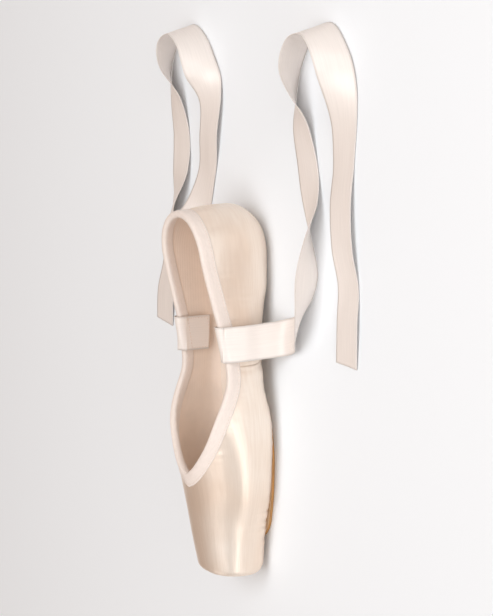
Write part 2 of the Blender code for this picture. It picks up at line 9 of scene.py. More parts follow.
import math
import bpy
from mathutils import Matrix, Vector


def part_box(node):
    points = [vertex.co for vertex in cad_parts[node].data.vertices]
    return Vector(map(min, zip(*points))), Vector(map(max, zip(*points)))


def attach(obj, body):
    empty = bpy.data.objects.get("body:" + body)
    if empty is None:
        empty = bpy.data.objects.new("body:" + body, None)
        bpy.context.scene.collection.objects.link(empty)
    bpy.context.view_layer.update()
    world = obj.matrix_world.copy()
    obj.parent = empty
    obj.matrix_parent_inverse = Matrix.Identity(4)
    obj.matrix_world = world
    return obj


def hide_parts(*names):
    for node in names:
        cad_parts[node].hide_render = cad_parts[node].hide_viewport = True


bl_info = {
    "name": "Pointe Shoe Dressing",
    "version": (1, 0, 0),
    "blender": (4, 5, 0),
    "location": "View3D > Sidebar > Pointe Shoe",
    "description": "Makes the cloth, leather and stitches of a pointe shoe round its frame",
    "category": "Object",
}

import bmesh
import bpy
import numpy as np
from mathutils import Matrix, Vector
from mathutils.noise import noise

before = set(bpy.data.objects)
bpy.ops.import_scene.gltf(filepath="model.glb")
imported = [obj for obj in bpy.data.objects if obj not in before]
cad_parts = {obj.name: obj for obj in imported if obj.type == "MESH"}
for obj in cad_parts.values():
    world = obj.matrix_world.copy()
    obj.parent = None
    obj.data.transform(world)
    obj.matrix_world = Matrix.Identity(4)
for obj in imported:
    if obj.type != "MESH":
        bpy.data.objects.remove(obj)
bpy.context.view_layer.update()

BODY = "root"
UPPER_LOW, UPPER_HIGH = (Vector(corner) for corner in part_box("upper"))
SOLE_LOW, SOLE_HIGH = (Vector(corner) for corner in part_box("outsole"))

LENGTH = UPPER_HIGH.x - UPPER_LOW.x
BALL_WIDTH = UPPER_HIGH.y - UPPER_LOW.y
COLLAR_HEIGHT = UPPER_HIGH.z
HEEL_WIDTH = 0.056
SIDE_HEIGHT = 0.034
INSTEP_HEIGHT = 0.048
WIDEST_HEIGHT = 0.018
HEEL_REACH = 0.030
ARCH_RISE = 0.0045

PLATFORM_WIDTH = 0.046
PLATFORM_HEIGHT = 0.035
PLATFORM_SIDE_ROUND = 0.004
PLATFORM_TOP_ROUND = 0.004
PLATFORM_UNDER_ROUND = 0.009

THROAT_DISTANCE = 0.064
THROAT_REACH = 0.075
THROAT_POWER = 0.63

QUARTER_WALL = 0.0018
BOX_WALL = 0.0032
PLATFORM_WALL = 0.0055
GAP = 0.0003

OUTSOLE_LENGTH = SOLE_HIGH.x - SOLE_LOW.x
OUTSOLE_WIDTH = SOLE_HIGH.y - SOLE_LOW.y
OUTSOLE_THICKNESS = 0.0020
OUTSOLE_SETBACK = UPPER_HIGH.x - SOLE_HIGH.x
OUTSOLE_NOSE_ROUND = 0.017
OUTSOLE_TAIL_ROUND = 0.013
OUTSOLE_SEAM_INSET = 0.0038
OUTSOLE_RINGS = (
    # inset, share of the thickness, from the middle of the lower face out and up to the upper one
    (0.0160, 0.0),
    (0.0100, 0.0),
    (0.0055, 0.0),
    (OUTSOLE_SEAM_INSET + 0.0005, 0.0),
    (OUTSOLE_SEAM_INSET, 0.15),
    (OUTSOLE_SEAM_INSET - 0.0005, 0.0),
    (0.0022, 0.0),
    (0.0008, 0.0),
    (0.00025, 0.06),
    (0.0, 0.28),
    (0.0, 0.75),
    (0.0003, 0.97),
    (0.0010, 1.0),
    (0.0060, 1.0),
    (0.0160, 1.0),
)
OUTSOLE_STITCH = (0.0019, 0.00036)  # length, radius
OUTSOLE_STITCH_HEIGHT = 0.00038
OUTSOLE_NARROWED = 0.006
OUTSOLE_TAPER = 0.03
OUTSOLE_STEPS = 90
CUT_EDGE_SLOPE = 0.72

INSOLE_THICKNESS = 0.0018
INSOLE_CLEARANCE = 0.0016
INSOLE_GAP = 0.0009
CANVAS_CLEARANCE = 0.6 * INSOLE_CLEARANCE
INSOLE_EDGE_DROP = 0.0013
INSOLE_SWELL = 0.00025
INSOLE_UNEVENNESS = 0.0001
INSOLE_THREADS = 390
INSOLE_NOSE_ROUND = 0.022

CASING_WIDTH = 0.0075
CASING_INNER_WIDTH = 0.0060
CASING_THICKNESS = 0.0008
CASING_GAP = 0.00045
CASING_SWELL = 0.0006
CASING_RIPPLE = 0.00010
CASING_STITCH = (0.0021, 0.0014, 0.00011)  # pitch, length, radius
CASING_STITCH_HEIGHT = 0.00008
CASING_GROOVE = 3

SIDE_SEAM_DISTANCE = 0.135
RIBBON_SETBACK = 0.014
RIBBON_WIDTH = 0.022
RIBBON_THICKNESS = 0.0004
RIBBON_SEWN_DEPTH = 0.018
RIBBON_SLACK = 0.0004
RIBBON_HELD = 0.035
RIBBON_FREEING = 0.03
RIBBON_CUP = 0.0004
RIBBON_DRAPE = 0.0005
RIBBON_LEAST_HEIGHT = 0.00055
RIBBON_SEWN_STEPS = 18
RIBBON_STITCH_RADIUS = 0.00016
RIBBON_STITCH_HEIGHT = 0.00032

SECTIONS = (
    # place, half width, crown, widest, base share, lower power, upper power
    (0.13, 0.000, 1.74, 1.10, 0.45, 2.1, 2.2),
    (0.26, 0.020, 1.70, 1.05, 0.48, 2.2, 2.2),
    (0.42, 0.260, 1.62, 0.98, 0.50, 2.3, 2.1),
    (0.54, 0.760, 1.34, 0.97, 0.56, 2.4, 2.0),
    (0.64, 1.000, 1.09, 1.00, 0.62, 2.4, 2.0),
    (0.72, 0.900, 1.00, 1.00, 0.62, 2.4, 2.0),
    (0.77, 0.780, 0.95, 1.00, 0.60, 2.4, 2.0),
    (0.86, 0.360, 0.87, 0.96, 0.56, 2.5, 2.1),
    (0.95, 0.080, 0.785, 0.90, 0.54, 2.6, 2.3),
    (1.00, 0.000, 0.73, 0.86, 0.54, 2.6, 2.4),
)
SOLE_LINE = (
    # place, share of the outsole's level, share of the arch
    (0.00, 0.0, 0.0),
    (0.19, 0.0, 0.0),
    (0.28, 1.0, 0.25),
    (0.36, 1.0, 0.85),
    (0.42, 1.0, 1.0),
    (0.49, 1.0, 0.75),
    (0.59, 1.0, 0.0),
    (1.00, 1.0, 0.0),
)
TOPLINE = (
    # place, height between the side height and the collar height
    (0.00, 1.00),
    (0.06, 0.97),
    (0.13, 0.84),
    (0.26, 0.44),
    (0.36, 0.12),
    (0.45, 0.00),
    (0.54, 0.12),
    (0.63, 0.36),
    (0.72, 0.50),
)
OUTSOLE_OUTLINE = (
    # place from the nose, share of half the width
    (0.00, 0.78),
    (0.10, 0.86),
    (0.25, 0.98),
    (0.36, 1.00),
    (0.48, 0.92),
    (0.62, 0.66),
    (0.74, 0.49),
    (0.83, 0.47),
    (0.92, 0.54),
    (1.00, 0.54),
)
HEEL_OUTLINE_POWER = 2.05
BACK_CROWN = 0.94
TOPLINE_BLEND = 6

BACK, SIDE = math.pi, math.pi / 2
THROAT = LENGTH - THROAT_DISTANCE
SOLE_LEVEL = OUTSOLE_THICKNESS + GAP
OUTSOLE_NOSE = LENGTH - OUTSOLE_SETBACK
OUTSOLE_TAIL = OUTSOLE_NOSE - OUTSOLE_LENGTH
SIDE_SEAM = LENGTH - SIDE_SEAM_DISTANCE
RIBBON_PLACE = SIDE_SEAM - RIBBON_SETBACK

RIBBON_LEFT_ROUTE = (
    # back, out, up, width along X, width along Y, width along Z
    (0.0003, 0.0327, 0.0336, 1.0, 0.0, 0.0),
    (0.001, 0.0362, 0.0270, 1.0, 0.0, 0.0),
    (0.002, 0.0385, 0.0150, 1.0, 0.0, 0.0),
    (0.004, 0.0450, 0.0050, 1.0, 0.0, 0.0),
    (0.008, 0.0560, 0.0028, 0.95, 0.15, 0.22),
    (0.016, 0.0680, 0.0060, 0.75, 0.35, 0.55),
    (0.029, 0.0775, 0.0092, 0.35, 0.45, 0.85),
    (0.046, 0.0820, 0.0100, 0.05, 0.4, 1.0),
    (0.064, 0.0800, 0.0075, 0.0, 0.7, 0.75),
    (0.086, 0.0730, 0.0026, 0.0, 1.0, 0.2),
    (0.108, 0.0665, 0.0008, 0.1, 1.0, 0.0),
    (0.132, 0.0620, 0.0030, 0.1, 1.0, 0.1),
    (0.152, 0.0610, 0.0065, 0.0, 0.7, 0.6),
    (0.171, 0.0640, 0.0102, 0.1, 0.3, 1.0),
    (0.187, 0.0760, 0.0108, 0.25, 0.1, 1.0),
    (0.190, 0.0930, 0.0108, 0.3, -0.1, 1.0),
    (0.177, 0.1060, 0.0100, 0.1, -0.4, 1.0),
    (0.158, 0.1100, 0.0062, 0.0, -0.8, 0.6),
    (0.136, 0.1085, 0.0020, 0.0, -1.0, 0.15),
    (0.112, 0.1060, 0.0008, 0.1, -1.0, 0.0),
    (0.088, 0.1065, 0.0032, 0.0, -1.0, 0.0),
    (0.064, 0.1090, 0.0034, 0.0, -1.0, 0.0),
    (0.042, 0.1120, 0.0008, 0.0, -1.0, 0.0),
    (0.020, 0.1125, 0.0020, 0.0, -1.0, 0.0),
    (-0.004, 0.1110, 0.0008, 0.0, -1.0, 0.0),
)
RIBBON_RIGHT_ROUTE = (
    (0.0003, 0.0327, 0.0336, 1.0, 0.0, 0.0),
    (0.001, 0.0362, 0.0270, 1.0, 0.0, 0.0),
    (0.002, 0.0385, 0.0150, 1.0, 0.0, 0.0),
    (0.005, 0.0445, 0.0056, 1.0, 0.05, 0.05),
    (0.011, 0.0550, 0.0040, 0.9, 0.25, 0.3),
    (0.021, 0.0650, 0.0074, 0.6, 0.45, 0.65),
    (0.036, 0.0720, 0.0098, 0.2, 0.45, 1.0),
    (0.054, 0.0730, 0.0090, 0.0, 0.5, 0.95),
    (0.076, 0.0665, 0.0035, 0.0, 1.0, 0.35),
    (0.099, 0.0600, 0.0008, 0.15, 1.0, 0.0),
    (0.122, 0.0535, 0.0036, 0.15, 1.0, 0.0),
    (0.146, 0.0500, 0.0042, 0.05, 1.0, 0.2),
    (0.166, 0.0520, 0.0090, 0.0, 0.5, 0.9),
    (0.182, 0.0610, 0.0106, 0.2, 0.1, 1.0),
    (0.190, 0.0770, 0.0108, 0.3, -0.1, 1.0),
    (0.183, 0.0930, 0.0106, 0.2, -0.3, 1.0),
    (0.166, 0.1010, 0.0080, 0.0, -0.7, 0.8),
    (0.145, 0.1000, 0.0026, 0.0, -1.0, 0.2),
    (0.122, 0.0960, 0.0008, 0.1, -1.0, 0.0),
    (0.098, 0.0945, 0.0022, 0.1, -1.0, 0.05),
    (0.075, 0.0985, 0.0055, 0.0, -0.9, 0.45),
    (0.055, 0.1050, 0.0040, -0.1, -1.0, 0.25),
    (0.037, 0.1110, 0.0008, -0.2, -1.0, 0.0),
    (0.016, 0.1170, 0.0022, -0.2, -1.0, 0.0),
    (-0.007, 0.1210, 0.0008, -0.2, -1.0, 0.0),
)

# Creases in the satin, listed one by one: which side, where each starts and ends as a place and a
# girth, how wide it is and how far it sinks in, or stands out where that is negative.
CREASES = (
    # side, start place, start girth, end place, end girth, width, depth
    (1, 0.094, 0.12, 0.089, -0.95, 0.0022, 0.00045),
    (1, 0.091, 0.10, 0.085, -0.90, 0.0026, -0.00040),
    (1, 0.087, 0.05, 0.078, -0.70, 0.0030, 0.00030),
    (1, 0.099, -0.10, 0.107, -0.90, 0.0030, -0.00025),
    (1, 0.104, 0.05, 0.116, -0.80, 0.0040, 0.00030),
    (-1, 0.093, 0.12, 0.090, -0.92, 0.0022, 0.00042),
    (-1, 0.090, 0.08, 0.083, -0.85, 0.0028, -0.00038),
    (-1, 0.101, 0.00, 0.112, -0.85, 0.0040, 0.00028),
    (1, 0.150, 0.35, 0.205, 0.18, 0.0060, 0.00030),
    (1, 0.160, 0.10, 0.226, 0.02, 0.0075, -0.00030),
    (1, 0.170, -0.25, 0.222, -0.28, 0.0060, 0.00028),
    (-1, 0.152, 0.30, 0.208, 0.14, 0.0060, 0.00028),
    (-1, 0.168, -0.20, 0.224, -0.22, 0.0065, 0.00026),
    (1, 0.120, 0.20, 0.150, -0.10, 0.0060, 0.00025),
    (-1, 0.118, 0.18, 0.148, -0.05, 0.0060, 0.00025),
    (1, 0.036, 0.24, 0.072, -0.30, 0.0060, 0.00060),
    (-1, 0.042, 0.20, 0.068, -0.35, 0.0060, 0.00055),
    (1, 0.048, 0.22, 0.086, -0.06, 0.0048, -0.00048),
    (-1, 0.050, 0.15, 0.082, -0.12, 0.0050, -0.00045),
    (1, 0.058, 0.18, 0.090, 0.02, 0.0038, 0.00040),
    (1, 0.026, 0.10, 0.060, -0.60, 0.0070, -0.00045),
    (1, 0.020, -0.30, 0.052, -0.85, 0.0060, 0.00040),
    (-1, 0.026, 0.05, 0.058, -0.62, 0.0070, -0.00042),
)
# The folds beside the side seam, whose middle leans back towards the floor.
SEAM_FOLDS = (
    # ahead of the seam, width, height, more height low on the side
    (0.0, 0.00062, -0.00060, 0.0),
    (-0.0024, 0.0016, 0.00032, 0.00050),
    (0.0030, 0.0018, -0.00030, 0.0),
    (0.0062, 0.0022, 0.00022, 0.0),
    (-0.0064, 0.0020, 0.0, -0.00035),
)
SEAM_LEAN = 0.0035
SEAM_REACH = 0.02
SEAM_PUCKER = 0.00012
BACK_SEAM_DEPTH = 0.00040
BACK_SEAM_WIDTH = 0.00055
BACK_SEAM_RIDGE = 0.00016
BACK_SEAM_MARGIN = 0.0018

COVER_STEPS = (30, 200, 16, 9)  # round the heel, along the shoe, at the edge, on the platform
COVER_GIRTHS = (15, 24, 36)  # under the base, up the side, up to the topline
LINING_STEPS = (18, 110, 8, 5)
LINING_GIRTHS = (6, 10, 22)
TOPLINE_STEPS = (24, 150, 4, 2)
THROAT_STEPS = (0.0, 0.0004, 0.0012, 0.0025, 0.0042)
SEAM_STEPS = (-0.0060, 0.0045, 0.00042)  # behind, ahead, step
CLOSEST_STEP = 0.0004
NOSE_STEPS = 160
INSOLE_STEPS = (110, 30)
RIBBON_STEPS = (9, 14)

GIRTH_METRES = 0.040
PLEATED_REACH = 0.050
PLEATED_GIRTH = 0.2
PLEATS_FADE = 0.014
PLEAT_LENGTH = 0.019
GATHER_LENGTH = 0.012
THROAT_CALM = 0.030
EDGE_RIPPLE = 0.00016
CLOTH_SWELL = 0.00042
CLOTH_UNEVENNESS = 0.00009
LINING_UNEVENNESS = 0.00012
LINING_THREADS = 450
HOLLOW_MIDDLE = Vector((0.0, 0.0, 0.020))


class ShoeLooks(bpy.types.PropertyGroup):
    """Sizes and colours of the shoe's cloth, leather and thread."""

    satin_colour: bpy.props.FloatVectorProperty(
        name="Satin", description="Colour of the satin cover", subtype="COLOR",
        default=(0.86, 0.70, 0.575), min=0, max=1)
    satin_pale: bpy.props.FloatVectorProperty(
        name="Pale satin", description="Colour of the satin where it has faded", subtype="COLOR",
        default=(0.93, 0.83, 0.735), min=0, max=1)
    tape_colour: bpy.props.FloatVectorProperty(
        name="Casing tape", description="Colour of the drawstring casing", subtype="COLOR",
        default=(0.87, 0.76, 0.69), min=0, max=1)
    ribbon_colour: bpy.props.FloatVectorProperty(
        name="Ribbon", description="Colour of the ribbons", subtype="COLOR",
        default=(0.89, 0.81, 0.755), min=0, max=1)
    canvas_colour: bpy.props.FloatVectorProperty(
        name="Canvas", description="Colour of the lining", subtype="COLOR",
        default=(0.95, 0.79, 0.67), min=0, max=1)
    leather_colour: bpy.props.FloatVectorProperty(
        name="Sole leather", description="Colour of the outsole's face", subtype="COLOR",
        default=(0.78, 0.58, 0.38), min=0, max=1)
    edge_colour: bpy.props.FloatVectorProperty(
        name="Cut edge", description="Colour of the outsole's cut edge", subtype="COLOR",
        default=(0.42, 0.21, 0.07), min=0, max=1)
    thread_colour: bpy.props.FloatVectorProperty(
        name="Thread", description="Colour of the sewing thread", subtype="COLOR",
        default=(0.88, 0.68, 0.57), min=0, max=1)
    sole_thread_colour: bpy.props.FloatVectorProperty(
        name="Sole thread", description="Colour of the thread in the outsole", subtype="COLOR",
        default=(0.20, 0.11, 0.05), min=0, max=1)
    insole_colour: bpy.props.FloatVectorProperty(
        name="Insole", description="Colour of the insole's canvas", subtype="COLOR",
        default=(0.96, 0.84, 0.73), min=0, max=1)
    pleat_pitch: bpy.props.FloatProperty(
        name="Pleat pitch", description="From one pleat under the toe to the next", default=0.0054,
        unit="LENGTH", min=0.002)
    pleat_depth: bpy.props.FloatProperty(
        name="Pleat depth", description="How deep the pleats fold", default=0.00095,
        unit="LENGTH", min=0)
    gather_depth: bpy.props.FloatProperty(
        name="Gathers", description="How far the satin puckers along the casing", default=0.00016,
        unit="LENGTH", min=0)
    stitch_pitch: bpy.props.FloatProperty(
        name="Stitch pitch", description="From one outsole stitch to the next", default=0.0044,
        unit="LENGTH", min=0.001)


def looks():
    return bpy.context.scene.pointe_shoe_looks


def smooth(value):
    """An even ramp from 0 to 1."""
    value = min(max(value, 0.0), 1.0)
    return value * value * (3 - 2 * value)


def read_table(rows, place, column):
    """The column's value at a place in the first column, on a smooth curve through the rows."""
    if place <= rows[0][0]:
        return rows[0][column]
    if place >= rows[-1][0]:
        return rows[-1][column]
    k = next(i for i in range(1, len(rows)) if place <= rows[i][0])
    low, high = rows[k - 1], rows[k]
    step = high[0] - low[0]
    along = (place - low[0]) / step

    def rise(first, last):
        return (rows[last][column] - rows[first][column]) / (rows[last][0] - rows[first][0])

    def slope(before, after):
        """The curve's slope at a row, level where the rows turn."""
        if before < 0 or after >= len(rows):
            return rise(k - 1, k)
        first, second = rise(before, before + 1), rise(after - 1, after)
        return 0.0 if first * second <= 0 else 2 * first * second / (first + second)

    start, end = slope(k - 2, k), slope(k - 1, k + 1)
    a, b = along * along * (3 - 2 * along), along * (1 - along)
    bend = b * ((1 - along) * start - along * end)
    return low[column] * (1 - a) + high[column] * a + step * bend


def rounded_in(place, radius):
    """How far a rounded front edge of this radius has drawn in at a place."""
    into = max(0.0, place - (LENGTH - radius))
    return radius - math.sqrt(max(0.0, radius * radius - into * into))


def wall(place):
    """The upper's thickness, which grows from the quarters to the box."""
    forward = smooth((place / LENGTH - 0.5) / 0.35)
    return QUARTER_WALL + (BOX_WALL - QUARTER_WALL) * forward


def half_width(place):
    """Half the last's greatest width."""
    end = HEEL_WIDTH if place < 0.64 * LENGTH else PLATFORM_WIDTH
    share = read_table(SECTIONS, place / LENGTH, 1)
    return (end + (BALL_WIDTH - end) * share) / 2


def sole_line(place):
    """The height of the last's base above the floor."""
    level, arch = (read_table(SOLE_LINE, place / LENGTH, column) for column in (1, 2))
    return SOLE_LEVEL * level + ARCH_RISE * arch


def crown_height(place):
    """The height of the last's top line, which ends at the platform's own height."""
    tip = PLATFORM_HEIGHT / (SECTIONS[-1][2] * INSTEP_HEIGHT) - 1
    forward = smooth((place - THROAT) / THROAT_DISTANCE)
    return INSTEP_HEIGHT * read_table(SECTIONS, place / LENGTH, 2) * (1 + tip * forward)


class Section:
    """One cross-section of the last, grown by an offset, or shrunk where it is negative."""

    def __init__(self, station, offset=0.0):
        place, self.turn, self.fill = station
        share = place / LENGTH
        self.place = place
        self.reach = half_width(place) + offset
        self.widest = WIDEST_HEIGHT * read_table(SECTIONS, share, 3)
        self.crown = crown_height(place) + offset
        self.bottom = sole_line(place) - offset
        base = read_table(SECTIONS, share, 4)
        self.low_power = read_table(SECTIONS, share, 5)
        self.high_power = read_table(SECTIONS, share, 6)
        if self.turn > SIDE:
            self.turn_heel(offset)
        self.base = base * (self.reach - offset)
        self.round_front()

    def turn_heel(self, offset):
        """The sections behind the heel's middle fan out to its rounded back."""
        across, back = math.sin(self.turn), -math.cos(self.turn)
        power = HEEL_OUTLINE_POWER
        total = (across / (HEEL_WIDTH / 2)) ** power + (back / HEEL_REACH) ** power
        self.reach = total ** (-1 / power) + offset
        self.crown *= 1 - (1 - BACK_CROWN) * back**2

    def round_front(self):
        """The platform's edge is rounded, most of all underneath."""
        self.reach -= rounded_in(self.place, PLATFORM_SIDE_ROUND)
        self.base -= rounded_in(self.place, PLATFORM_SIDE_ROUND)
        self.crown -= rounded_in(self.place, PLATFORM_TOP_ROUND)
        self.bottom += rounded_in(self.place, PLATFORM_UNDER_ROUND)

    def point(self, girth):
        """The point of the section at a girth, on its left side."""
        if girth <= -1:
            out, up = (girth + 2) * self.base, self.bottom
        elif girth <= 0:
            power, angle = 2 / self.low_power, -girth * math.pi / 2
            out = self.base + (self.reach - self.base) * math.cos(angle) ** power
            up = self.widest - (self.widest - self.bottom) * math.sin(angle) ** power
        else:
            power, angle = 2 / self.high_power, girth * math.pi / 2
            out = self.reach * max(0.0, math.cos(angle)) ** power
            up = self.widest + (self.crown - self.widest) * math.sin(angle) ** power
        if girth >= 1 or girth <= -2:
            out = 0.0
        middle = (self.bottom + self.crown) / 2
        out, up = out * self.fill, middle + (up - middle) * self.fill
        across = out * math.sin(self.turn) if self.turn < BACK else 0.0
        return Vector((self.place + out * math.cos(self.turn) - LENGTH / 2, across, up))

    def girth_at_height(self, height):
        """The girth at a height above the widest one."""
        share = (height - self.widest) / (self.crown - self.widest)
        return math.asin(min(max(share, 0.0), 1.0) ** (self.high_power / 2)) / (math.pi / 2)

    def girth_at_width(self, share):
        """The girth above the widest height where the section has this share of its width."""
        return math.acos(min(max(share, 0.0), 1.0) ** (self.high_power / 2)) / (math.pi / 2)

    def nearest(self, out, up, offset):
        """The point of the upper quarter on the line from the section's middle, moved off it."""
        tall, power = self.crown - self.widest, self.high_power
        across, high = abs(out) / self.reach, (up - self.widest) / tall
        if high <= 0:
            return self.reach + offset, up
        scale = (across**power + high**power) ** (1 / power)
        away = Vector((
            (across / scale) ** (power - 1) / self.reach,
            (high / scale) ** (power - 1) / tall,
        )).normalized()
        return out / scale + away.x * offset, self.widest + tall * high / scale + away.y * offset


def station_of(point):
    """The station whose section holds a point in space."""
    place = point.x + LENGTH / 2
    if place >= HEEL_REACH:
        return (place, SIDE, 1.0)
    return (HEEL_REACH, math.atan2(abs(point.y), place - HEEL_REACH), 1.0)


def onto_last(point, offset):
    """The point moved in its own section onto the last, and then off it by an offset."""
    station = station_of(point)
    place, turn, _ = station
    out = math.hypot(point.y, point.x + LENGTH / 2 - place) if turn > SIDE else abs(point.y)
    out, up = Section(station).nearest(out, point.z, offset)
    side = -1 if point.y < 0 else 1
    across = 0.0 if abs(point.y) < 1e-6 else side * out * math.sin(turn)
    return Vector((place + out * math.cos(turn) - LENGTH / 2, across, up))


def topline_girth(station):
    """The girth at which the upper ends: the crown ahead of the throat, and less behind it."""
    place, turn, _ = station
    if place >= THROAT:
        return 1.0
    section = Section(station)
    back = (turn - SIDE) / (BACK - SIDE)
    share = (place - HEEL_REACH * back) / LENGTH
    height = SIDE_HEIGHT + (COLLAR_HEIGHT - SIDE_HEIGHT) * read_table(TOPLINE, share, 1)
    by_height = section.girth_at_height(height)
    opened = (1 - max(0.0, 1 - (THROAT - place) / THROAT_REACH) ** 2) ** THROAT_POWER
    by_width = section.girth_at_width(opened)
    return min(1.0, (by_height**TOPLINE_BLEND + by_width**TOPLINE_BLEND) ** (1 / TOPLINE_BLEND))


def topline_point(station):
    """The topline's point on the left side."""
    return Section(station).point(topline_girth(station))


def mirrored(points):
    """The same points on the shoe's other side."""
    return [Vector((point.x, -point.y, point.z)) for point in points]


def outsole_half(place):
    """Half the outsole's width at a place, with its rounded nose and tail."""
    ahead, behind = OUTSOLE_NOSE - place, place - OUTSOLE_TAIL
    if ahead <= 0 or behind <= 0:
        return 0.0

    def end(distance, radius):
        into = 1 - min(1.0, distance / radius)
        return math.sqrt(1 - into**2)

    body = read_table(OUTSOLE_OUTLINE, ahead / OUTSOLE_LENGTH, 1) * OUTSOLE_WIDTH / 2
    return body * end(ahead, OUTSOLE_NOSE_ROUND) * end(behind, OUTSOLE_TAIL_ROUND)


def inner_half(section, height):
    """Half the inner width at a height in the section's lower quarter."""
    drop = (section.widest - height) / (section.widest - section.bottom)
    share = (1 - min(1.0, drop) ** section.low_power) ** (1 / section.low_power)
    return section.base + (section.reach - section.base) * share


def fine_stations(fan_steps, span_steps, round_steps, rings):
    """Close stations from the back of the heel to the middle of the platform, closest at the
    seams and at the throat."""
    found = []
    for k in range(fan_steps):
        found.append((HEEL_REACH, BACK + (SIDE - BACK) * (k / fan_steps) ** 1.8, 1.0))
    box_front = LENGTH - PLATFORM_UNDER_ROUND
    places = list(np.linspace(HEEL_REACH, box_front, span_steps, endpoint=False))
    near = [THROAT - step for step in THROAT_STEPS]
    near += [SIDE_SEAM + step for step in np.arange(*SEAM_STEPS)]
    places = [p for p in places if all(abs(p - n) > CLOSEST_STEP for n in near)] + near
    for k in range(round_steps + 1):
        places.append(box_front + PLATFORM_UNDER_ROUND * math.sin(math.pi / 2 * k / round_steps))
    found += [(place, SIDE, 1.0) for place in sorted(places)]
    return found + [(LENGTH, SIDE, 1 - (k + 1) / rings) for k in range(rings)]


def half_girths(end, flat, lower, upper):
    """Girths from the middle of the base to the wall's end."""
    marks = [-2 + (k / flat) ** 1.5 for k in range(flat)]
    marks += [-1 + k / lower for k in range(lower)]
    return marks + [end * k / upper for k in range(upper + 1)]


def grid_piece(name, points, uvs):
    """A grid primitive moved to a table of points, with its UV map in metres."""
    rows, columns = points.shape[0] - 1, points.shape[1] - 1
    bpy.ops.object.select_all(action="DESELECT")
    bpy.ops.mesh.primitive_grid_add(x_subdivisions=rows, y_subdivisions=columns, size=1)
    piece = bpy.context.object
    piece.name = piece.data.name = name
    mesh = piece.data
    flat = np.empty(len(mesh.vertices) * 3)
    mesh.vertices.foreach_get("co", flat)
    place = flat.reshape(-1, 3)
    along = np.rint((place[:, 0] + 0.5) * rows).astype(int)
    across = np.rint((place[:, 1] + 0.5) * columns).astype(int)
    mesh.vertices.foreach_set("co", points[along, across].reshape(-1))
    corners = np.empty(len(mesh.loops), dtype=np.int32)
    mesh.loops.foreach_get("vertex_index", corners)
    layer = mesh.uv_layers.active or mesh.uv_layers.new(name="cloth")
    layer.name = "cloth"
    layer.data.foreach_set("uv", uvs[along[corners], across[corners]].reshape(-1))
    mesh.update()
    return piece


def select_only(piece):
    """Selects one piece and makes it the active one."""
    bpy.ops.object.select_all(action="DESELECT")
    piece.select_set(True)
    bpy.context.view_layer.objects.active = piece


def weld(piece, outward=None):
    """Joins the vertices that meet and turns the faces outwards, away from a point inside."""
    select_only(piece)
    bpy.ops.object.mode_set(mode="EDIT")
    bpy.ops.mesh.select_all(action="SELECT")
    bpy.ops.mesh.remove_doubles(threshold=2e-6)
    bpy.ops.mesh.dissolve_degenerate(threshold=1e-7)
    bpy.ops.object.mode_set(mode="OBJECT")
    if outward is not None:
        total = sum((f.center - outward).dot(f.normal) * f.area for f in piece.data.polygons)
        if total < 0:
            piece.data.flip_normals()
    bpy.ops.object.shade_smooth()


def turn_out(piece):
    """Turns the faces of a closed piece outwards."""
    bm = bmesh.new()
    bm.from_mesh(piece.data)
    bmesh.ops.recalc_face_normals(bm, faces=bm.faces)
    bm.to_mesh(piece.data)
    bm.free()


def shape_normals(points):
    """Unit normals of a table of points, from the lines of the table."""
    along = np.gradient(points, axis=0)
    across = np.gradient(points, axis=1)
    normal = np.cross(along, across)
    size = np.linalg.norm(normal, axis=2, keepdims=True)
    return normal / np.maximum(size, 1e-12), size[..., 0] > 1e-12


def thicken(piece, thickness, offset):
    """Gives a sheet its wall and shades it smooth."""
    select_only(piece)
    modifier = piece.modifiers.new("wall", "SOLIDIFY")
    modifier.thickness, modifier.offset = thickness, offset
    bpy.ops.object.modifier_apply(modifier=modifier.name)
    bpy.ops.object.shade_smooth()


def bump_along(distance, width):
    """A soft ridge's height at a distance from its middle."""
    return math.exp(-((distance / width) ** 2))


def crease_relief(place, girth, side):
    """How far the listed creases move the satin at a place."""
    total = 0.0
    at = Vector((place, girth * GIRTH_METRES))
    for crease_side, place_a, girth_a, place_b, girth_b, width, depth in CREASES:
        if crease_side != side:
            continue
        start = Vector((place_a, girth_a * GIRTH_METRES))
        way = Vector((place_b, girth_b * GIRTH_METRES)) - start
        along = min(max((at - start).dot(way) / way.length_squared, 0.0), 1.0)
        away = (at - start - way * along).length
        if away < 3 * width:
            fade = math.sin(math.pi * (0.08 + 0.84 * along))
            total -= depth * fade * bump_along(away, width)
    return total


def nose_outline():
    """The front of the outsole's edge, with how far round from its nose each point is."""
    outline = sole_outline(0.0, NOSE_STEPS)
    outline = [(place, out) for place, out in outline if place > OUTSOLE_NOSE - PLEATED_REACH]
    points, arcs, travelled = [(OUTSOLE_NOSE, 0.0)], [0.0], 0.0
    for place, out in outline[-2::-1]:
        travelled += math.hypot(place - points[-1][0], out - points[-1][1])
        points.append((place, out))
        arcs.append(travelled)
    return np.array(points), np.array(arcs)


def pleat_relief(place, across, girth, side, nose):
    """The folds of the satin under the toe, which fan out from the outsole's nose."""
    if girth > PLEATED_GIRTH or place < OUTSOLE_NOSE - PLEATED_REACH:
        return 0.0
    points, arcs = nose
    gaps = np.hypot(points[:, 0] - place, points[:, 1] - abs(across))
    k = int(np.argmin(gaps))
    under = place < OUTSOLE_NOSE and abs(across) < outsole_half(place)
    away = 0.0 if under else float(gaps[k])
    arc = float(arcs[k])
    fade = smooth(1 - away / PLEAT_LENGTH) * smooth((PLEATED_GIRTH - girth) / 0.5)
    fade *= smooth((PLEATED_REACH - arc) / PLEATS_FADE)
    turn = side * arc / looks().pleat_pitch + 0.5
    wave = turn + 0.17 * math.sin(3.1 * turn + 0.6)
    fold = abs((wave % 1.0) - 0.5) * 2
    return looks().pleat_depth * fade * (fold**0.7 - 0.75)


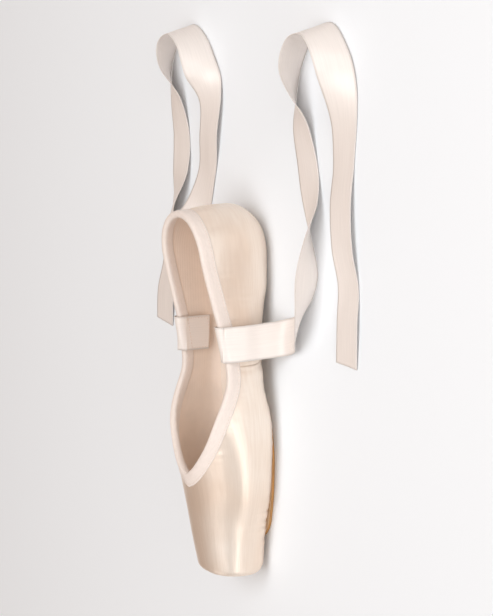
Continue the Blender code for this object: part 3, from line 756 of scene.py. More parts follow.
def seam_relief(point, place, girth, side):
    """The sunken seams at the sides, and the one up the back and under the heel."""
    total = 0.0
    away = place - SIDE_SEAM + SEAM_LEAN * (0.2 - girth)
    if girth > -1.4 and abs(away) < SEAM_REACH:
        low = smooth((0.1 - girth) / 0.9)
        for ahead, width, height, more in SEAM_FOLDS:
            total += (height + more * low) * bump_along(away - ahead, width)
        pucker = math.sin(girth * 31 + 2.0 * side) * bump_along(away - 0.001, 0.0060)
        total += SEAM_PUCKER * pucker * (1 - bump_along(away, 0.0008))
    if place <= HEEL_REACH or (girth < -1 and place < OUTSOLE_TAIL + 0.006):
        total -= BACK_SEAM_DEPTH * bump_along(point.y, BACK_SEAM_WIDTH)
        total += BACK_SEAM_RIDGE * bump_along(abs(point.y) - BACK_SEAM_MARGIN, 0.0010)
    return total


def uneven_wave(along, rate, sway, slow_rate, turn=0.0):
    """A wave whose spacing drifts."""
    return math.sin(along * rate + sway * math.sin(along * slow_rate + turn))


def gather_relief(place, girth, end, point):
    """Small puckers below the casing, and along the edge that the outsole holds."""
    below = (end - girth) * GIRTH_METRES
    calm = smooth((THROAT - place) / THROAT_CALM)
    wave = uneven_wave(point.x, 1150, 1.3, 310) * noise(point * 90)
    fade = smooth(1 - (below - CASING_WIDTH) / GATHER_LENGTH)
    total = looks().gather_depth * 1.5 * wave * calm * fade
    if -1.6 < girth < -0.25 and place > OUTSOLE_TAIL:
        ripple = uneven_wave(point.x, 830, 1.7, 211, 1.0) * (0.6 + noise(point * 60))
        total += EDGE_RIPPLE * ripple * math.sin(math.pi * (girth + 1.6) / 1.35)
    return total


def cover_relief(station, girth, end, side, point, nose):
    """All of the satin's relief over the last."""
    place, _, fill = station
    still = fill if place >= LENGTH else 1.0
    total = crease_relief(place, girth, side)
    total += seam_relief(point, place, girth, side)
    total += gather_relief(place, girth, end, point)
    total += pleat_relief(place, point.y, girth, side, nose)
    total += CLOTH_SWELL * noise(Vector((point.x * 34, point.y * 42, point.z * 42)))
    total += CLOTH_UNEVENNESS * noise(Vector((point.x * 80 + 5, point.y * 150, point.z * 150)))
    return total * still


def last_table(stations, offset_at, steps):
    """Points of the last all the way round, from the right topline under to the left, with their
    girths, wall ends and UVs."""
    points, marks, uvs = [], [], []
    travelled, previous = 0.0, None
    for station in stations:
        end = topline_girth(station)
        girths = half_girths(end, *steps)
        section = Section(station, offset_at(station[0]))
        half = [section.point(girth) for girth in girths]
        anchor = section.point(0.0)
        travelled += 0.0 if previous is None else (anchor - previous).length
        previous = anchor
        back = girths[:0:-1]
        points.append([tuple(point) for point in mirrored(half[:0:-1]) + half])
        marks.append([(-1, g, end) for g in back] + [(1, g, end) for g in girths])
        uvs.append([(travelled, g * GIRTH_METRES) for g in back + girths])
    return np.array(points), marks, np.array(uvs)


class SHOE_OT_satin_cover(bpy.types.Operator):
    """Lays the satin over the last, with its creases, seams, gathers and pleats"""

    bl_idname = "pointe_shoe.satin_cover"
    bl_label = "Satin Cover"

    def execute(self, context):
        stations = fine_stations(*COVER_STEPS)
        points, marks, uvs = last_table(stations, lambda place: 0.0, COVER_GIRTHS)
        normals, sound = shape_normals(points)
        nose = nose_outline()
        sign = math.copysign(1.0, normals[len(stations) // 2, -20, 1])
        for i, station in enumerate(stations):
            for j, (side, girth, end) in enumerate(marks[i]):
                if sound[i, j]:
                    spot = Vector(points[i, j])
                    lift = cover_relief(station, girth, end, side, spot, nose)
                    points[i, j] += sign * normals[i, j] * lift
        close_table(points, marks)
        points[..., 2] = np.maximum(points[..., 2], 0.0)
        piece = grid_piece("satin_cover", points, uvs)
        weld(piece, HOLLOW_MIDDLE)
        dress(piece, "satin", "upper", satin_material())
        return {"FINISHED"}


class SHOE_OT_canvas_lining(bpy.types.Operator):
    """Lines the hollow with canvas, from the toe of the box to the heel"""

    bl_idname = "pointe_shoe.canvas_lining"
    bl_label = "Canvas Lining"

    def execute(self, context):
        stations = fine_stations(*LINING_STEPS)
        points, marks, uvs = last_table(stations, lambda place: -wall(place), LINING_GIRTHS)
        for i, (place, _, _) in enumerate(stations):
            draw = smooth((place - OUTSOLE_NOSE) / (LENGTH - OUTSOLE_NOSE)) * PLATFORM_WALL
            for j in range(points.shape[1]):
                at = Vector(points[i, j])
                points[i, j, 0] -= draw
                points[i, j, 1:] += LINING_UNEVENNESS * noise(at * 130)
        close_table(points, marks)
        piece = grid_piece("canvas_lining", points, uvs)
        weld(piece, HOLLOW_MIDDLE)
        piece.data.flip_normals()
        canvas = canvas_material("lining canvas", looks().canvas_colour, LINING_THREADS)
        dress(piece, "canvas", "upper", canvas)
        return {"FINISHED"}


def close_table(points, marks):
    """Brings both sides together on the heel's back row and on each row that reaches the crown."""
    folded = (points[0] + points[0, ::-1]) / 2
    folded[:, 1] = 0.0
    points[0] = folded
    for row, mark in zip(points, marks):
        if mark[0][2] >= 1.0:
            row[0] = row[-1] = (row[0] + row[-1]) / 2


def topline_path():
    """The topline all the way round: from the back of the heel along the left side to the throat
    and back along the right side."""
    stations = fine_stations(*TOPLINE_STEPS)
    half = [topline_point(station) for station in stations if station[0] <= THROAT]
    return half + mirrored(half[-2:0:-1])


def casing_marks(place):
    """The casing's U section: how far below the topline, and how far off the last."""
    inside = wall(place)
    cord = CASING_GAP + CASING_THICKNESS
    return (
        (CASING_WIDTH, 0.00008),
        (CASING_WIDTH, 0.00040),
        (CASING_WIDTH - 0.0007, 0.00056),
        (CASING_WIDTH - 0.0013, 0.00046),  # the groove that the stitches sink into
        (CASING_WIDTH - 0.0019, 0.00058),
        (0.0045, 0.00070),
        (0.0034, 0.00088),
        (0.0022, cord),
        (0.0010, cord + 0.00005),
        (-0.0002, cord - 0.0001),
        (-0.0009, cord * 0.55),
        (-0.0012, -inside * 0.5),
        (-0.0009, -inside - cord * 0.5),
        (0.0, -inside - cord * 0.9),
        (0.0020, -inside - cord * 0.85),
        (0.0040, -inside - 0.0007),
        (CASING_INNER_WIDTH - 0.0006, -inside - 0.00050),
        (CASING_INNER_WIDTH, -inside - 0.00035),
        (CASING_INNER_WIDTH, -inside - 0.00005),
    )


def casing_ring(path, k):
    """The casing's section at a point of the closed topline."""
    count = len(path)
    before, here, after = path[k - 1], path[k], path[(k + 1) % count]
    ways = []
    for first, second in ((before, here), (here, after)):
        along = (second - first).normalized()
        middle = (first + second) / 2
        outward = onto_last(middle, 0.001) - onto_last(middle, 0.0)
        ways.append(outward.cross(along).normalized())
    way = (ways[0] + ways[1]).normalized()
    way = way / max(0.5, way.dot(ways[1]))
    ripple = 0.0
    if abs(here.y) > 0.002:
        ripple = CASING_RIPPLE * math.sin(k * 1.35) * (0.5 + noise(here * 120))
    place = here.x + LENGTH / 2
    ring = []
    for down, offset in casing_marks(place):
        swell = ripple if offset > 0 else -ripple
        spot = here + way * down
        if k == 0 or k == count // 2:
            spot.y = 0.0
        ring.append(onto_last(spot, offset + swell))
    return ring


class SHOE_OT_drawstring_casing(bpy.types.Operator):
    """Binds the topline with the drawstring casing and stitches its lower edge down"""

    bl_idname = "pointe_shoe.drawstring_casing"
    bl_label = "Drawstring Casing"

    def execute(self, context):
        path = topline_path()
        rings = [casing_ring(path, k) for k in range(len(path))]
        rings.append(rings[0])
        points, uvs, travelled = [], [], 0.0
        for k, ring in enumerate(rings):
            travelled += (path[k % len(path)] - path[k - 1]).length if k else 0.0
            row, girth = [], 0.0
            for j, spot in enumerate(ring + ring[:1]):
                girth += (spot - ring[j - 1]).length if j else 0.0
                row.append((travelled, girth))
            points.append([tuple(p) for p in ring + ring[:1]])
            uvs.append(row)
        piece = grid_piece("casing_tape", np.array(points), np.array(uvs))
        weld(piece)
        turn_out(piece)
        dress(piece, "casing_tape", "drawstring_casing", tape_material())
        self.sew(path)
        return {"FINISHED"}

    def sew(self, path):
        """The row of stitches that holds the casing's lower edge to the satin."""
        line = []
        for k in range(len(path)):
            groove = casing_ring(path, k)[CASING_GROOVE]
            outward = (groove - onto_last(groove, -0.001)).normalized()
            line.append(groove + outward * CASING_STITCH_HEIGHT)
        stitches = stitch_row("casing_stitches", line, *CASING_STITCH)
        thread = thread_material("pale thread", looks().thread_colour)
        dress(stitches, "casing_tape", None, thread)


def stitch_row(name, line, pitch, length, radius):
    """A row of short threads along a closed line, each a slim bead with sunk ends."""
    bm = bmesh.new()
    total, lengths = 0.0, [0.0]
    closed = line + line[:1]
    for a, b in zip(closed, closed[1:]):
        total += (b - a).length
        lengths.append(total)
    count = int(total / pitch)

    def at(distance):
        """The point at a distance along the line."""
        distance %= total
        k = min(int(np.searchsorted(lengths, distance, side="right")) - 1, len(line) - 1)
        share = (distance - lengths[k]) / max(lengths[k + 1] - lengths[k], 1e-9)
        return closed[k].lerp(closed[k + 1], share)

    for n in range(count):
        start, end = at(n * total / count), at(n * total / count + length)
        add_bead(bm, start, end, radius)
    piece = finished_piece(name, bm)
    for face in piece.data.polygons:
        face.use_smooth = True
    return piece


def finished_piece(name, bm):
    """An object with the mesh that was made."""
    mesh = bpy.data.meshes.new(name)
    bm.to_mesh(mesh)
    bm.free()
    piece = bpy.data.objects.new(name, mesh)
    bpy.context.scene.collection.objects.link(piece)
    return piece


def add_bead(bm, start, end, radius, sides=6):
    """One stitch: a closed six-sided bead from start to end, thickest in the middle."""
    along = (end - start).normalized()
    side = along.orthogonal().normalized()
    up = along.cross(side)
    rings = []
    for share, swell in ((0.06, 0.55), (0.35, 1.0), (0.65, 1.0), (0.94, 0.55)):
        centre = start.lerp(end, share)
        ring = []
        for k in range(sides):
            angle = 2 * math.pi * k / sides
            out = side * math.cos(angle) + up * math.sin(angle)
            ring.append(bm.verts.new(centre + out * radius * swell))
        rings.append(ring)
    for first, second in zip(rings, rings[1:]):
        for k in range(sides):
            bm.faces.new((first[k], first[(k + 1) % sides], second[(k + 1) % sides], second[k]))
    tail, head = bm.verts.new(start), bm.verts.new(end)
    for k in range(sides):
        bm.faces.new((tail, rings[0][(k + 1) % sides], rings[0][k]))
        bm.faces.new((head, rings[-1][k], rings[-1][(k + 1) % sides]))


def sole_outline(inset, steps):
    """The outsole's outline, drawn in by an inset, as places with their half widths."""
    middle = (OUTSOLE_NOSE + OUTSOLE_TAIL) / 2
    half = OUTSOLE_LENGTH / 2
    outline = []
    for k in range(steps + 1):
        place = middle - half * math.cos(math.pi * k / steps)
        outline.append((place, outsole_half(place)))
    if not inset:
        return outline
    drawn = []
    for k, (place, out) in enumerate(outline):
        before, after = outline[max(k - 1, 0)], outline[min(k + 1, steps)]
        if k == 0:
            before = (after[0], -after[1])
        if k == steps:
            after = (before[0], -before[1])
        along = Vector((after[0] - before[0], after[1] - before[1])).normalized()
        drawn.append((place + along.y * inset, max(0.0, out - along.x * inset)))
    return drawn


class SHOE_OT_outsole(bpy.types.Operator):
    """Cuts the leather outsole, rounds its edge and sews it along a groove"""

    bl_idname = "pointe_shoe.outsole"
    bl_label = "Outsole"

    def execute(self, context):
        loops = [self.loop(inset) for inset, _ in OUTSOLE_RINGS]
        heights = [height for _, height in OUTSOLE_RINGS]
        points = np.array([self.raised(*pair) for pair in zip(loops, heights)])
        spines = points[[0, -1]].copy()
        spines[..., 1] = 0.0
        points = np.concatenate([spines[:1], points, spines[1:]])
        piece = grid_piece("leather_outsole", points, np.array([loops[0], *loops, loops[-1]]))
        weld(piece)
        turn_out(piece)
        dress(piece, "sole_leather", "outsole", leather_material(), edge_material())
        for face in piece.data.polygons:
            if abs(face.normal.z) < CUT_EDGE_SLOPE:
                face.material_index = 1
        self.sew()
        return {"FINISHED"}

    def loop(self, inset):
        """The closed outline, drawn in by an inset and narrowed where it nears the middle."""
        near = min(inset, OUTSOLE_NARROWED)
        outline = sole_outline(near, OUTSOLE_STEPS)
        if inset > near:
            outline = [(p, o * (1 - (inset - near) / OUTSOLE_TAPER)) for p, o in outline]
        return outline + [(p, -o) for p, o in outline[-2:0:-1]] + outline[:1]

    def raised(self, loop, height):
        """A loop's points at a share of the sole's thickness above its lower face."""
        lift = height * OUTSOLE_THICKNESS
        return [(p - LENGTH / 2, o, sole_line(p) - SOLE_LEVEL + lift) for p, o in loop]

    def sew(self):
        """The stitches in the groove round the outsole."""
        sunk = OUTSOLE_STITCH_HEIGHT / OUTSOLE_THICKNESS
        line = [Vector(spot) for spot in self.raised(self.loop(OUTSOLE_SEAM_INSET)[:-1], sunk)]
        stitches = stitch_row("outsole_stitches", line, looks().stitch_pitch, *OUTSOLE_STITCH)
        thread = thread_material("sole thread", looks().sole_thread_colour)
        dress(stitches, "sole_leather", None, thread)


class SHOE_OT_insole(bpy.types.Operator):
    """Covers the insole with canvas, padded a little and turned down round its edge"""

    bl_idname = "pointe_shoe.insole"
    bl_label = "Insole"

    def execute(self, context):
        rear = HEEL_REACH - inner_half(Section((HEEL_REACH, BACK, 1.0), -wall(0)), self.base(0))
        rear += CANVAS_CLEARANCE
        front = LENGTH - PLATFORM_WALL - PLATFORM_UNDER_ROUND
        steps, across = INSOLE_STEPS
        middle, reach = (front + rear) / 2, (front - rear) / 2
        points, uvs = [], []
        for k in range(steps + 1):
            place = middle - reach * math.cos(math.pi * k / steps)
            half = self.half(place, rear, front)
            row = []
            for j in range(across + 1):
                share = math.sin(math.pi * (j / across - 0.5))
                drop = INSOLE_EDGE_DROP * abs(share) ** 14
                at = Vector((place, share * half, 0))
                rise = INSOLE_SWELL * noise(at * 55) + INSOLE_UNEVENNESS * noise(at * 160)
                height = self.base(place) + INSOLE_THICKNESS - drop + rise * (1 - abs(share) ** 6)
                row.append((place - LENGTH / 2, share * half, height))
            points.append(row)
            uvs.append([(place, (j / across - 0.5) * 2 * half) for j in range(across + 1)])
        piece = grid_piece("covered_insole", np.array(points), np.array(uvs))
        weld(piece, Vector((0, 0, -1)))
        thicken(piece, INSOLE_GAP, -1)
        canvas = canvas_material("insole canvas", looks().insole_colour, INSOLE_THREADS)
        dress(piece, "canvas", "insole", canvas)
        return {"FINISHED"}

    def base(self, place):
        """The height of the insole's lower face."""
        return sole_line(place) + wall(place) + INSOLE_GAP

    def half(self, place, rear, front):
        """Half the insole's width, with its rounded heel and nose."""
        section = Section((max(place, HEEL_REACH), SIDE, 1.0), -wall(place))
        out = inner_half(section, self.base(place) + INSOLE_THICKNESS) - CANVAS_CLEARANCE
        into = max(0.0, 1 - (front - place) / INSOLE_NOSE_ROUND)
        if place < HEEL_REACH:
            into = (HEEL_REACH - place) / (HEEL_REACH - rear)
        return out * max(0.0, 1 - into**HEEL_OUTLINE_POWER) ** (1 / HEEL_OUTLINE_POWER)


def sewn_route(side):
    """A ribbon's points where it is sewn inside the quarter and passes over the topline."""
    behind, edge, ahead = (
        topline_point((RIBBON_PLACE + step, SIDE, 1.0))
        for step in (-RIBBON_WIDTH / 2, 0.0, RIBBON_WIDTH / 2)
    )
    wide = (ahead - behind).normalized()
    clear = CASING_GAP + GAP + CASING_THICKNESS + CASING_SWELL + RIBBON_SLACK
    inside, outside = -wall(RIBBON_PLACE) - clear, clear
    points = []
    for down in (RIBBON_SEWN_DEPTH, RIBBON_SEWN_DEPTH / 2, CASING_INNER_WIDTH / 2, 0.0):
        points.append(onto_last(edge - Vector((0, 0, down)), inside))
    first, last = points[-1], onto_last(edge, outside)
    middle, radius = (first + last) / 2, (last - first).length / 2
    for k in (1, 2, 3):
        angle = math.pi * k / 4
        points.append(middle + Vector((0, -radius * math.cos(angle), radius * math.sin(angle))))
    points.append(last)
    mirror = Vector((1, side, 1))
    return [(point * mirror, wide * mirror) for point in points]


def ribbon_route(side, rows):
    """All of a ribbon's points, each with the way its width points."""
    route = sewn_route(side)
    start = RIBBON_PLACE - LENGTH / 2
    for back, out, up, wide_x, wide_y, wide_z in rows:
        spot = Vector((start - back, side * out, up))
        route.append((spot, Vector((wide_x, side * wide_y, wide_z))))
    return route


def curve_through(route, steps):
    """A smooth curve through the route, as points with their widths."""
    padded = [route[0]] + route + [route[-1]]
    found = []
    for k in range(1, len(padded) - 2):
        four = padded[k - 1 : k + 3]
        for step in range(steps):
            t = step / steps
            weights = (
                -0.5 * t + t * t - 0.5 * t**3,
                1 - 2.5 * t * t + 1.5 * t**3,
                0.5 * t + 2 * t * t - 1.5 * t**3,
                -0.5 * t * t + 0.5 * t**3,
            )
            point = sum((p * w for (p, _), w in zip(four, weights)), Vector((0, 0, 0)))
            wide = sum((p * w for (_, p), w in zip(four, weights)), Vector((0, 0, 0)))
            found.append((point, wide))
    return found + [route[-1]]


class SHOE_OT_ribbons(bpy.types.Operator):
    """Sews in the two ribbons and lets them lie loose on the floor"""

    bl_idname = "pointe_shoe.ribbons"
    bl_label = "Ribbons"

    def execute(self, context):
        self.lay("left", 1, RIBBON_LEFT_ROUTE)
        self.lay("right", -1, RIBBON_RIGHT_ROUTE)
        return {"FINISHED"}

    def lay(self, name, side, rows):
        """One ribbon as a woven strip, a little cupped, with its width across the grid."""
        steps, across_steps = RIBBON_STEPS
        curve = curve_through(ribbon_route(side, rows), steps)
        points, uvs, travelled = [], [], 0.0
        for k, (point, wide) in enumerate(curve):
            before, after = curve[max(k - 1, 0)][0], curve[min(k + 1, len(curve) - 1)][0]
            along = (after - before).normalized()
            across = (wide - along * wide.dot(along)).normalized()
            up = across.cross(along).normalized()
            if up.z < 0:
                up.negate()
            travelled += (point - curve[k - 1][0]).length if k else 0.0
            row, marks = [], []
            free = smooth((travelled - RIBBON_HELD) / RIBBON_FREEING)
            for j in range(across_steps + 1):
                share = 2 * j / across_steps - 1
                cup = (share * share - 0.4) * noise(Vector((travelled * 24, side, 2)))
                drape = noise(Vector((travelled * 35, share * 0.9, side * 7)))
                lift = free * (RIBBON_CUP * cup + RIBBON_DRAPE * drape)
                row.append(point + across * share * RIBBON_WIDTH / 2 + up * lift)
                marks.append((travelled, share * RIBBON_WIDTH / 2))
            lift = max(0.0, RIBBON_LEAST_HEIGHT - min(p.z for p in row))
            points.append([(p.x, p.y, p.z + lift) for p in row])
            uvs.append(marks)
        piece = grid_piece(f"satin_ribbon_{name}", np.array(points), np.array(uvs))
        weld(piece)
        thicken(piece, RIBBON_THICKNESS, 0)
        dress(piece, "ribbon_satin", f"ribbon_{name}", ribbon_material())
        self.sew(name, curve, side)

    def sew(self, name, curve, side):
        """The small square of stitches that holds the ribbon's end inside the quarter."""
        bm = bmesh.new()
        inward = Vector((0, -side, 0))

        def spot(k, share):
            point, wide = curve[k]
            off_middle = wide.normalized() * share * RIBBON_WIDTH / 2
            return point + off_middle + inward * RIBBON_STITCH_HEIGHT

        last = RIBBON_SEWN_STEPS - 1
        for k in range(0, last, 2):
            for share in (-0.9, 0.9):
                add_bead(bm, spot(k, share), spot(k + 1, share * 0.985), RIBBON_STITCH_RADIUS)
        for k in (0, last):
            for n in range(9):
                share = -0.86 + n * 0.2
                add_bead(bm, spot(k, share), spot(k, share + 0.13), RIBBON_STITCH_RADIUS)
        piece = finished_piece(f"ribbon_stitches_{name}", bm)
        thread = thread_material("pale thread", looks().thread_colour)
        dress(piece, "ribbon_satin", None, thread)


def dress(piece, slot, node, *materials):
    """Gives a piece its materials, makes it ride on the shoe and stands it for its node."""
    piece.data.materials.clear()
    for material in materials:
        piece.data.materials.append(material)
    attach(piece, BODY)
    if node:
        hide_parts(node)


class Pattern:
    """The nodes of a material or of the world. Each helper gives back the socket that it made."""

    def __init__(self, tree):
        self.nodes, self.links = tree.nodes, tree.links

    def fill(self, node, inputs):
        """Links a node's inputs to sockets, or sets them to plain values."""
        for key, value in inputs.items():
            socket = node.inputs[key]
            if isinstance(value, bpy.types.NodeSocket):
                self.links.new(value, socket)
            else:
                socket.default_value = (*value[:3], 1.0) if socket.type == "RGBA" else value

    def node(self, kind, inputs, output, **settings):
        """A node with its settings and inputs, as one of its outputs."""
        made = self.nodes.new(kind)
        for key, value in settings.items():
            setattr(made, key, value)
        self.fill(made, inputs)
        return made.outputs[output]

    def on_cloth(self, *scale):
        """The piece's own cloth map, in metres, stretched by a scale."""
        uv = self.node("ShaderNodeUVMap", {}, "UV", uv_map="cloth")
        return self.node("ShaderNodeMapping", {"Vector": uv, "Scale": scale}, "Vector")

    def on_object(self, *scale):
        """Object coordinates stretched by a scale."""
        place = self.node("ShaderNodeTexCoord", {}, "Object")
        return self.node("ShaderNodeMapping", {"Vector": place, "Scale": scale}, "Vector")

    def across(self, vector, axis):
        """One coordinate of a vector."""
        return self.node("ShaderNodeSeparateXYZ", {"Vector": vector}, axis)

    def noise(self, vector, detail):
        """Noise on a stretched vector."""
        inputs = {"Vector": vector, "Scale": 1.0, "Detail": detail}
        return self.node("ShaderNodeTexNoise", inputs, "Fac")

    def bands(self, vector, direction="X", distortion=0.0, detail=2.0):
        """Even bands across a stretched vector."""
        inputs = {"Vector": vector, "Scale": 1.0, "Distortion": distortion, "Detail": detail}
        settings = {"wave_type": "BANDS", "bands_direction": direction}
        return self.node("ShaderNodeTexWave", inputs, "Fac", **settings)

    def times(self, first, second):
        """Two factors multiplied."""
        return self.node("ShaderNodeMath", {0: first, 1: second}, 0, operation="MULTIPLY")

    def ramp(self, factor, low, high, start=0.0, end=1.0):
        """A factor mapped from one range to another."""
        inputs = {0: factor, 1: low, 2: high, 3: start, 4: end}
        return self.node("ShaderNodeMapRange", inputs, "Result")

    def mix(self, factor, first, second):
        """A colour between two, by a factor."""
        return self.node("ShaderNodeMix", {0: factor, 6: first, 7: second}, 2, data_type="RGBA")

    def bump(self, height, strength, distance, under=None):
        """A bump from a height, over another bump if one is given."""
        inputs = {"Height": height, "Strength": strength, "Distance": distance}
        if under is not None:
            inputs["Normal"] = under
        return self.node("ShaderNodeBump", inputs, "Normal")


class Finish(Pattern):
    """A material in the making, with its shader."""

    def __init__(self, name):
        self.material = bpy.data.materials.new(name)
        self.material.use_nodes = True
        super().__init__(self.material.node_tree)

    def done(self, inputs):
        """The material, once its shader has its colour, roughness and the rest."""
        self.fill(self.nodes["Principled BSDF"], inputs)
        return self.material


def shade_of(colour, share):
    """A colour made darker or paler by a share."""
    return tuple(min(1.0, c * share) for c in colour)


def satin_material():
    """Satin: long floats along the cloth that streak the gloss, faint slubs and faded patches."""
    satin = Finish("cover satin")
    colour = looks().satin_colour
    streaks = satin.noise(satin.on_cloth(260, 5200, 1), 2.0)
    slubs = satin.noise(satin.on_cloth(60, 1100, 1), 1.0)
    ripples = satin.noise(satin.on_cloth(26, 330, 1), 1.0)
    patches = satin.noise(satin.on_object(22, 30, 30), 2.0)
    faded = satin.mix(satin.ramp(patches, 0.30, 0.75), colour, looks().satin_pale)
    fine = satin.bump(streaks, 0.07, 0.00006)
    threads = satin.ramp(slubs, 0.30, 0.72, 0.0, 0.35)
    along = {"direction_type": "UV_MAP", "uv_map": "cloth"}
    return satin.done({
        "Base Color": satin.mix(threads, faded, shade_of(colour, 0.90)),
        "Roughness": satin.ramp(slubs, 0.3, 0.7, 0.30, 0.38),
        "Normal": satin.bump(ripples, 0.30, 0.0004, fine),
        "Tangent": satin.node("ShaderNodeTangent", {}, "Tangent", **along),
        "Metallic": 0.52,
        "Anisotropic": 0.55,
        "Specular IOR Level": 0.75,
        "Sheen Weight": 0.08,
        "Sheen Roughness": 0.35,
        "Sheen Tint": (1.0, 0.93, 0.88),
    })


def ribbon_material():
    """Ribbon satin with a corded, woven edge along both sides."""
    satin = Finish("ribbon satin")
    base = looks().ribbon_colour
    uv = satin.node("ShaderNodeUVMap", {}, "UV", uv_map="cloth")
    away = satin.node("ShaderNodeMath", {0: satin.across(uv, "Y")}, 0, operation="ABSOLUTE")
    edge = satin.ramp(away, 0.0096, 0.0101)
    streaks = satin.noise(satin.on_cloth(200, 5200, 1), 2.0)
    slubs = satin.noise(satin.on_cloth(45, 1200, 1), 2.0)
    threads = satin.mix(satin.ramp(slubs, 0.3, 0.72, 0.0, 0.5), base, shade_of(base, 0.90))
    corded = satin.times(edge, satin.bands(satin.on_cloth(520, 1, 1)))
    return satin.done({
        "Base Color": satin.mix(satin.ramp(edge, 0, 1, 0, 0.65), threads, shade_of(base, 0.86)),
        "Roughness": satin.ramp(edge, 0.0, 1.0, 0.46, 0.66),
        "Normal": satin.bump(corded, 0.5, 0.0002, satin.bump(streaks, 0.10, 0.0001)),
        "Metallic": 0.08,
        "Specular IOR Level": 0.55,
        "Anisotropic": 0.4,
        "Sheen Weight": 0.12,
        "Sheen Roughness": 0.4,
    })


def tape_material():
    """Matte casing tape with a fine cross weave."""
    tape = Finish("casing tape")
    base = looks().tape_colour
    weave = tape.bands(tape.on_cloth(430, 1, 1), distortion=0.6)
    slubs = tape.noise(tape.on_cloth(300, 900, 1), 3.0)
    return tape.done({
        "Base Color": tape.mix(tape.ramp(slubs, 0.3, 0.7, 0.0, 0.5), base, shade_of(base, 0.88)),
        "Roughness": 0.62,
        "Normal": tape.bump(slubs, 0.25, 0.00012, tape.bump(weave, 0.25, 0.00012)),
        "Sheen Weight": 0.3,
        "Sheen Roughness": 0.5,
    })


def canvas_material(name, colour, threads):
    """Plain-woven canvas: two crossed sets of threads, with slubs and faint stains."""
    canvas = Finish(name)
    warp = canvas.bands(canvas.on_cloth(threads, 0.3, 1), "X", 1.2, 1.0)
    weft = canvas.bands(canvas.on_cloth(0.3, threads, 1), "Y", 1.2, 1.0)
    woven = canvas.times(warp, weft)
    stains = canvas.noise(canvas.on_object(45, 45, 45), 4.0)
    dark = shade_of(colour, 0.80)
    shade = canvas.mix(canvas.ramp(stains, 0.35, 0.75, 0.0, 0.7), colour, dark)
    return canvas.done({
        "Base Color": canvas.mix(canvas.ramp(woven, 0, 1, 0.25, 0.0), shade, dark),
        "Roughness": 0.9,
        "Normal": canvas.bump(woven, 0.4, 0.00018),
        "Sheen Weight": 0.15,
    })


def leather_material():
    """Buffed sole leather: fine nap, soft blotches and light scuffs along the shoe."""
    leather = Finish("sole leather")
    base = looks().leather_colour
    blotch = leather.noise(leather.on_object(55, 55, 55), 4.0)
    nap = leather.noise(leather.on_object(1400, 1400, 1400), 3.0)
    scuff = leather.noise(leather.on_object(120, 900, 400), 2.0)
    dark = shade_of(base, 0.78)
    blotched = leather.mix(leather.ramp(blotch, 0.32, 0.7), shade_of(base, 1.14), base)
    grained = leather.mix(leather.ramp(nap, 0.42, 0.62, 0.0, 0.40), blotched, dark)
    return leather.done({
        "Base Color": leather.mix(leather.ramp(scuff, 0.60, 0.80, 0.0, 0.5), grained, dark),
        "Roughness": 0.78,
        "Normal": leather.bump(scuff, 0.2, 0.00015, leather.bump(nap, 0.35, 0.00012)),
        "Sheen Weight": 0.15,
    })


def edge_material():
    """The outsole's cut edge, stained brown and faintly layered."""
    edge = Finish("cut edge")
    base = looks().edge_colour
    layers = edge.noise(edge.on_object(90, 90, 2600), 2.0)
    return edge.done({
        "Base Color": edge.mix(edge.ramp(layers, 0.35, 0.7), base, shade_of(base, 1.5)),
        "Roughness": 0.55,
        "Normal": edge.bump(layers, 0.3, 0.0001),
    })


def thread_material(name, colour):
    """Twisted thread of one colour, shared where it already exists."""
    if name in bpy.data.materials:
        return bpy.data.materials[name]
    thread = Finish(name)
    twist = thread.noise(thread.on_object(2500, 2500, 2500), 2.0)
    return thread.done({
        "Base Color": thread.mix(thread.ramp(twist, 0.35, 0.65), colour, shade_of(colour, 0.8)),
        "Roughness": 0.5,
        "Sheen Weight": 0.2,
    })


CAMERA_ELEVATION = math.radians(29)
CAMERA_HEELWARD = math.radians(9)
CAMERA_DISTANCE = 1.25
CAMERA_LENS = 118
AIM = Vector((-0.052, 0.012, 0.012))
LAMPS = (
    # name, place, size, power, colour
    ("key strip", (0.10, 1.25, 0.22), (2.2, 0.46), 4.0, (1.0, 0.995, 0.985)),
    ("overhead", (-0.20, 0.50, 1.45), (1.5, 1.0), 15, (0.98, 0.99, 1.0)),
    ("toe fill", (1.3, -0.5, 0.7), (0.8, 0.8), 1.5, (1.0, 1.0, 1.0)),
    ("heel fill", (-0.70, 0.80, 0.34), (0.45, 0.30), 0.6, (1.0, 0.995, 0.985)),
    ("back rim", (-0.5, -1.3, 0.8), (1.2, 0.5), 0.4, (1.0, 0.99, 0.97)),
)
SKY_BEHIND, SKY_AHEAD = (0.86, 0.58, 0.40), (0.945, 0.95, 0.96)
FLOOR_COLOUR = (0.915, 0.945, 0.975)
FLOOR_SIZE, FLOOR_LEVEL = 14, -0.0001


def towards(elevation, heelward):
    """The way from the shoe to something at an elevation and an angle towards the heel."""
    level = math.cos(elevation)
    return Vector((-level * math.sin(heelward), level * math.cos(heelward), math.sin(elevation)))


def facing(place, back):
    """The matrix of a lamp or camera at a place, level with the shoe's length."""
    right = Vector((1, 0, 0))
    right = (right - back * right.dot(back)).normalized()
    turn = Matrix((right, back.cross(right), back)).transposed().to_4x4()
    return Matrix.Translation(place) @ turn


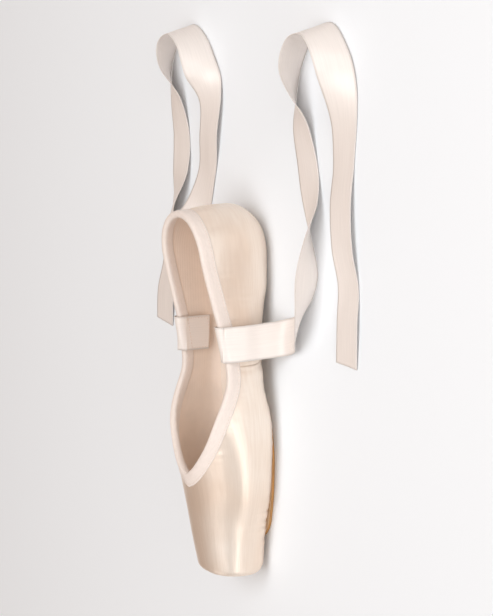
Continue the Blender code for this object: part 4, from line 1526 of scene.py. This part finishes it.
class SHOE_OT_stage(bpy.types.Operator):
    """Lays the pale floor and sets the studio lights and the camera"""

    bl_idname = "pointe_shoe.stage"
    bl_label = "Studio"

    def execute(self, context):
        self.floor()
        for lamp in LAMPS:
            self.lamp(*lamp)
        context.scene.world = self.sky()
        context.scene.view_settings.view_transform = "Standard"
        context.scene.view_settings.look = "None"
        context.scene.camera = self.camera()
        return {"FINISHED"}

    def sky(self):
        """A pale world, dim and tan behind the shoe, so that the satin has tones to reflect."""
        world = bpy.data.worlds.new("studio")
        world.use_nodes = True
        sky = Pattern(world.node_tree)
        place = sky.node("ShaderNodeTexCoord", {}, "Generated")
        ahead = sky.ramp(sky.across(place, "Y"), -0.65, 0.6)
        sky.fill(sky.nodes["Background"], {
            "Strength": sky.ramp(ahead, 0, 1, 0.34, 0.60),
            "Color": sky.mix(ahead, SKY_BEHIND, SKY_AHEAD),
        })
        return world

    def floor(self):
        """A wide pale floor under the shoe."""
        bpy.ops.object.select_all(action="DESELECT")
        bpy.ops.mesh.primitive_plane_add(size=FLOOR_SIZE, location=(0, 0, FLOOR_LEVEL))
        floor = bpy.context.object
        floor.name = "studio_floor"
        bpy.ops.object.transform_apply(location=True, rotation=True, scale=True)
        paint = Finish("studio floor").done({"Base Color": FLOOR_COLOUR, "Roughness": 0.7})
        floor.data.materials.append(paint)

    def lamp(self, name, place, size, power, colour):
        """One soft lamp that faces the shoe."""
        data = bpy.data.lights.new(name, "AREA")
        data.shape = "RECTANGLE"
        data.size, data.size_y = size
        data.energy = power
        data.color = colour
        self.stand(name, data, facing(Vector(place), (Vector(place) - AIM).normalized()))

    def camera(self):
        """The camera, rolled so that the toe points down and the sole is at the right."""
        data = bpy.data.cameras.new("camera")
        data.lens = CAMERA_LENS
        data.sensor_width = 36
        back = towards(CAMERA_ELEVATION, CAMERA_HEELWARD)
        roll = Matrix.Rotation(math.pi / 2, 4, "Z")
        return self.stand("camera", data, facing(AIM + back * CAMERA_DISTANCE, back) @ roll)

    def stand(self, name, data, matrix):
        """A lamp or camera in its place."""
        made = bpy.data.objects.new(name, data)
        bpy.context.scene.collection.objects.link(made)
        made.matrix_world = matrix
        return made


class SHOE_PT_panel(bpy.types.Panel):
    """Lists the shoe's pieces, in the order in which they are made"""

    bl_idname = "SHOE_PT_panel"
    bl_label = "Pointe Shoe"
    bl_space_type = "VIEW_3D"
    bl_region_type = "UI"
    bl_category = "Pointe Shoe"

    def draw(self, context):
        for name in ShoeLooks.__annotations__:
            self.layout.prop(context.scene.pointe_shoe_looks, name)
        for step in STEPS:
            self.layout.operator(step.bl_idname)


STEPS = (
    SHOE_OT_satin_cover,
    SHOE_OT_canvas_lining,
    SHOE_OT_drawstring_casing,
    SHOE_OT_outsole,
    SHOE_OT_insole,
    SHOE_OT_ribbons,
    SHOE_OT_stage,
)
CLASSES = (ShoeLooks, *STEPS, SHOE_PT_panel)


def register():
    for one in CLASSES:
        bpy.utils.register_class(one)
    bpy.types.Scene.pointe_shoe_looks = bpy.props.PointerProperty(type=ShoeLooks)


def unregister():
    del bpy.types.Scene.pointe_shoe_looks
    for one in reversed(CLASSES):
        bpy.utils.unregister_class(one)


def main():
    """Makes every piece in order."""
    register()
    for step in (
        bpy.ops.pointe_shoe.satin_cover,
        bpy.ops.pointe_shoe.canvas_lining,
        bpy.ops.pointe_shoe.drawstring_casing,
        bpy.ops.pointe_shoe.outsole,
        bpy.ops.pointe_shoe.insole,
        bpy.ops.pointe_shoe.ribbons,
        bpy.ops.pointe_shoe.stage,
    ):
        if step() != {"FINISHED"}:
            raise RuntimeError(f"{step} didn't finish")


if __name__ == "__main__":
    main()
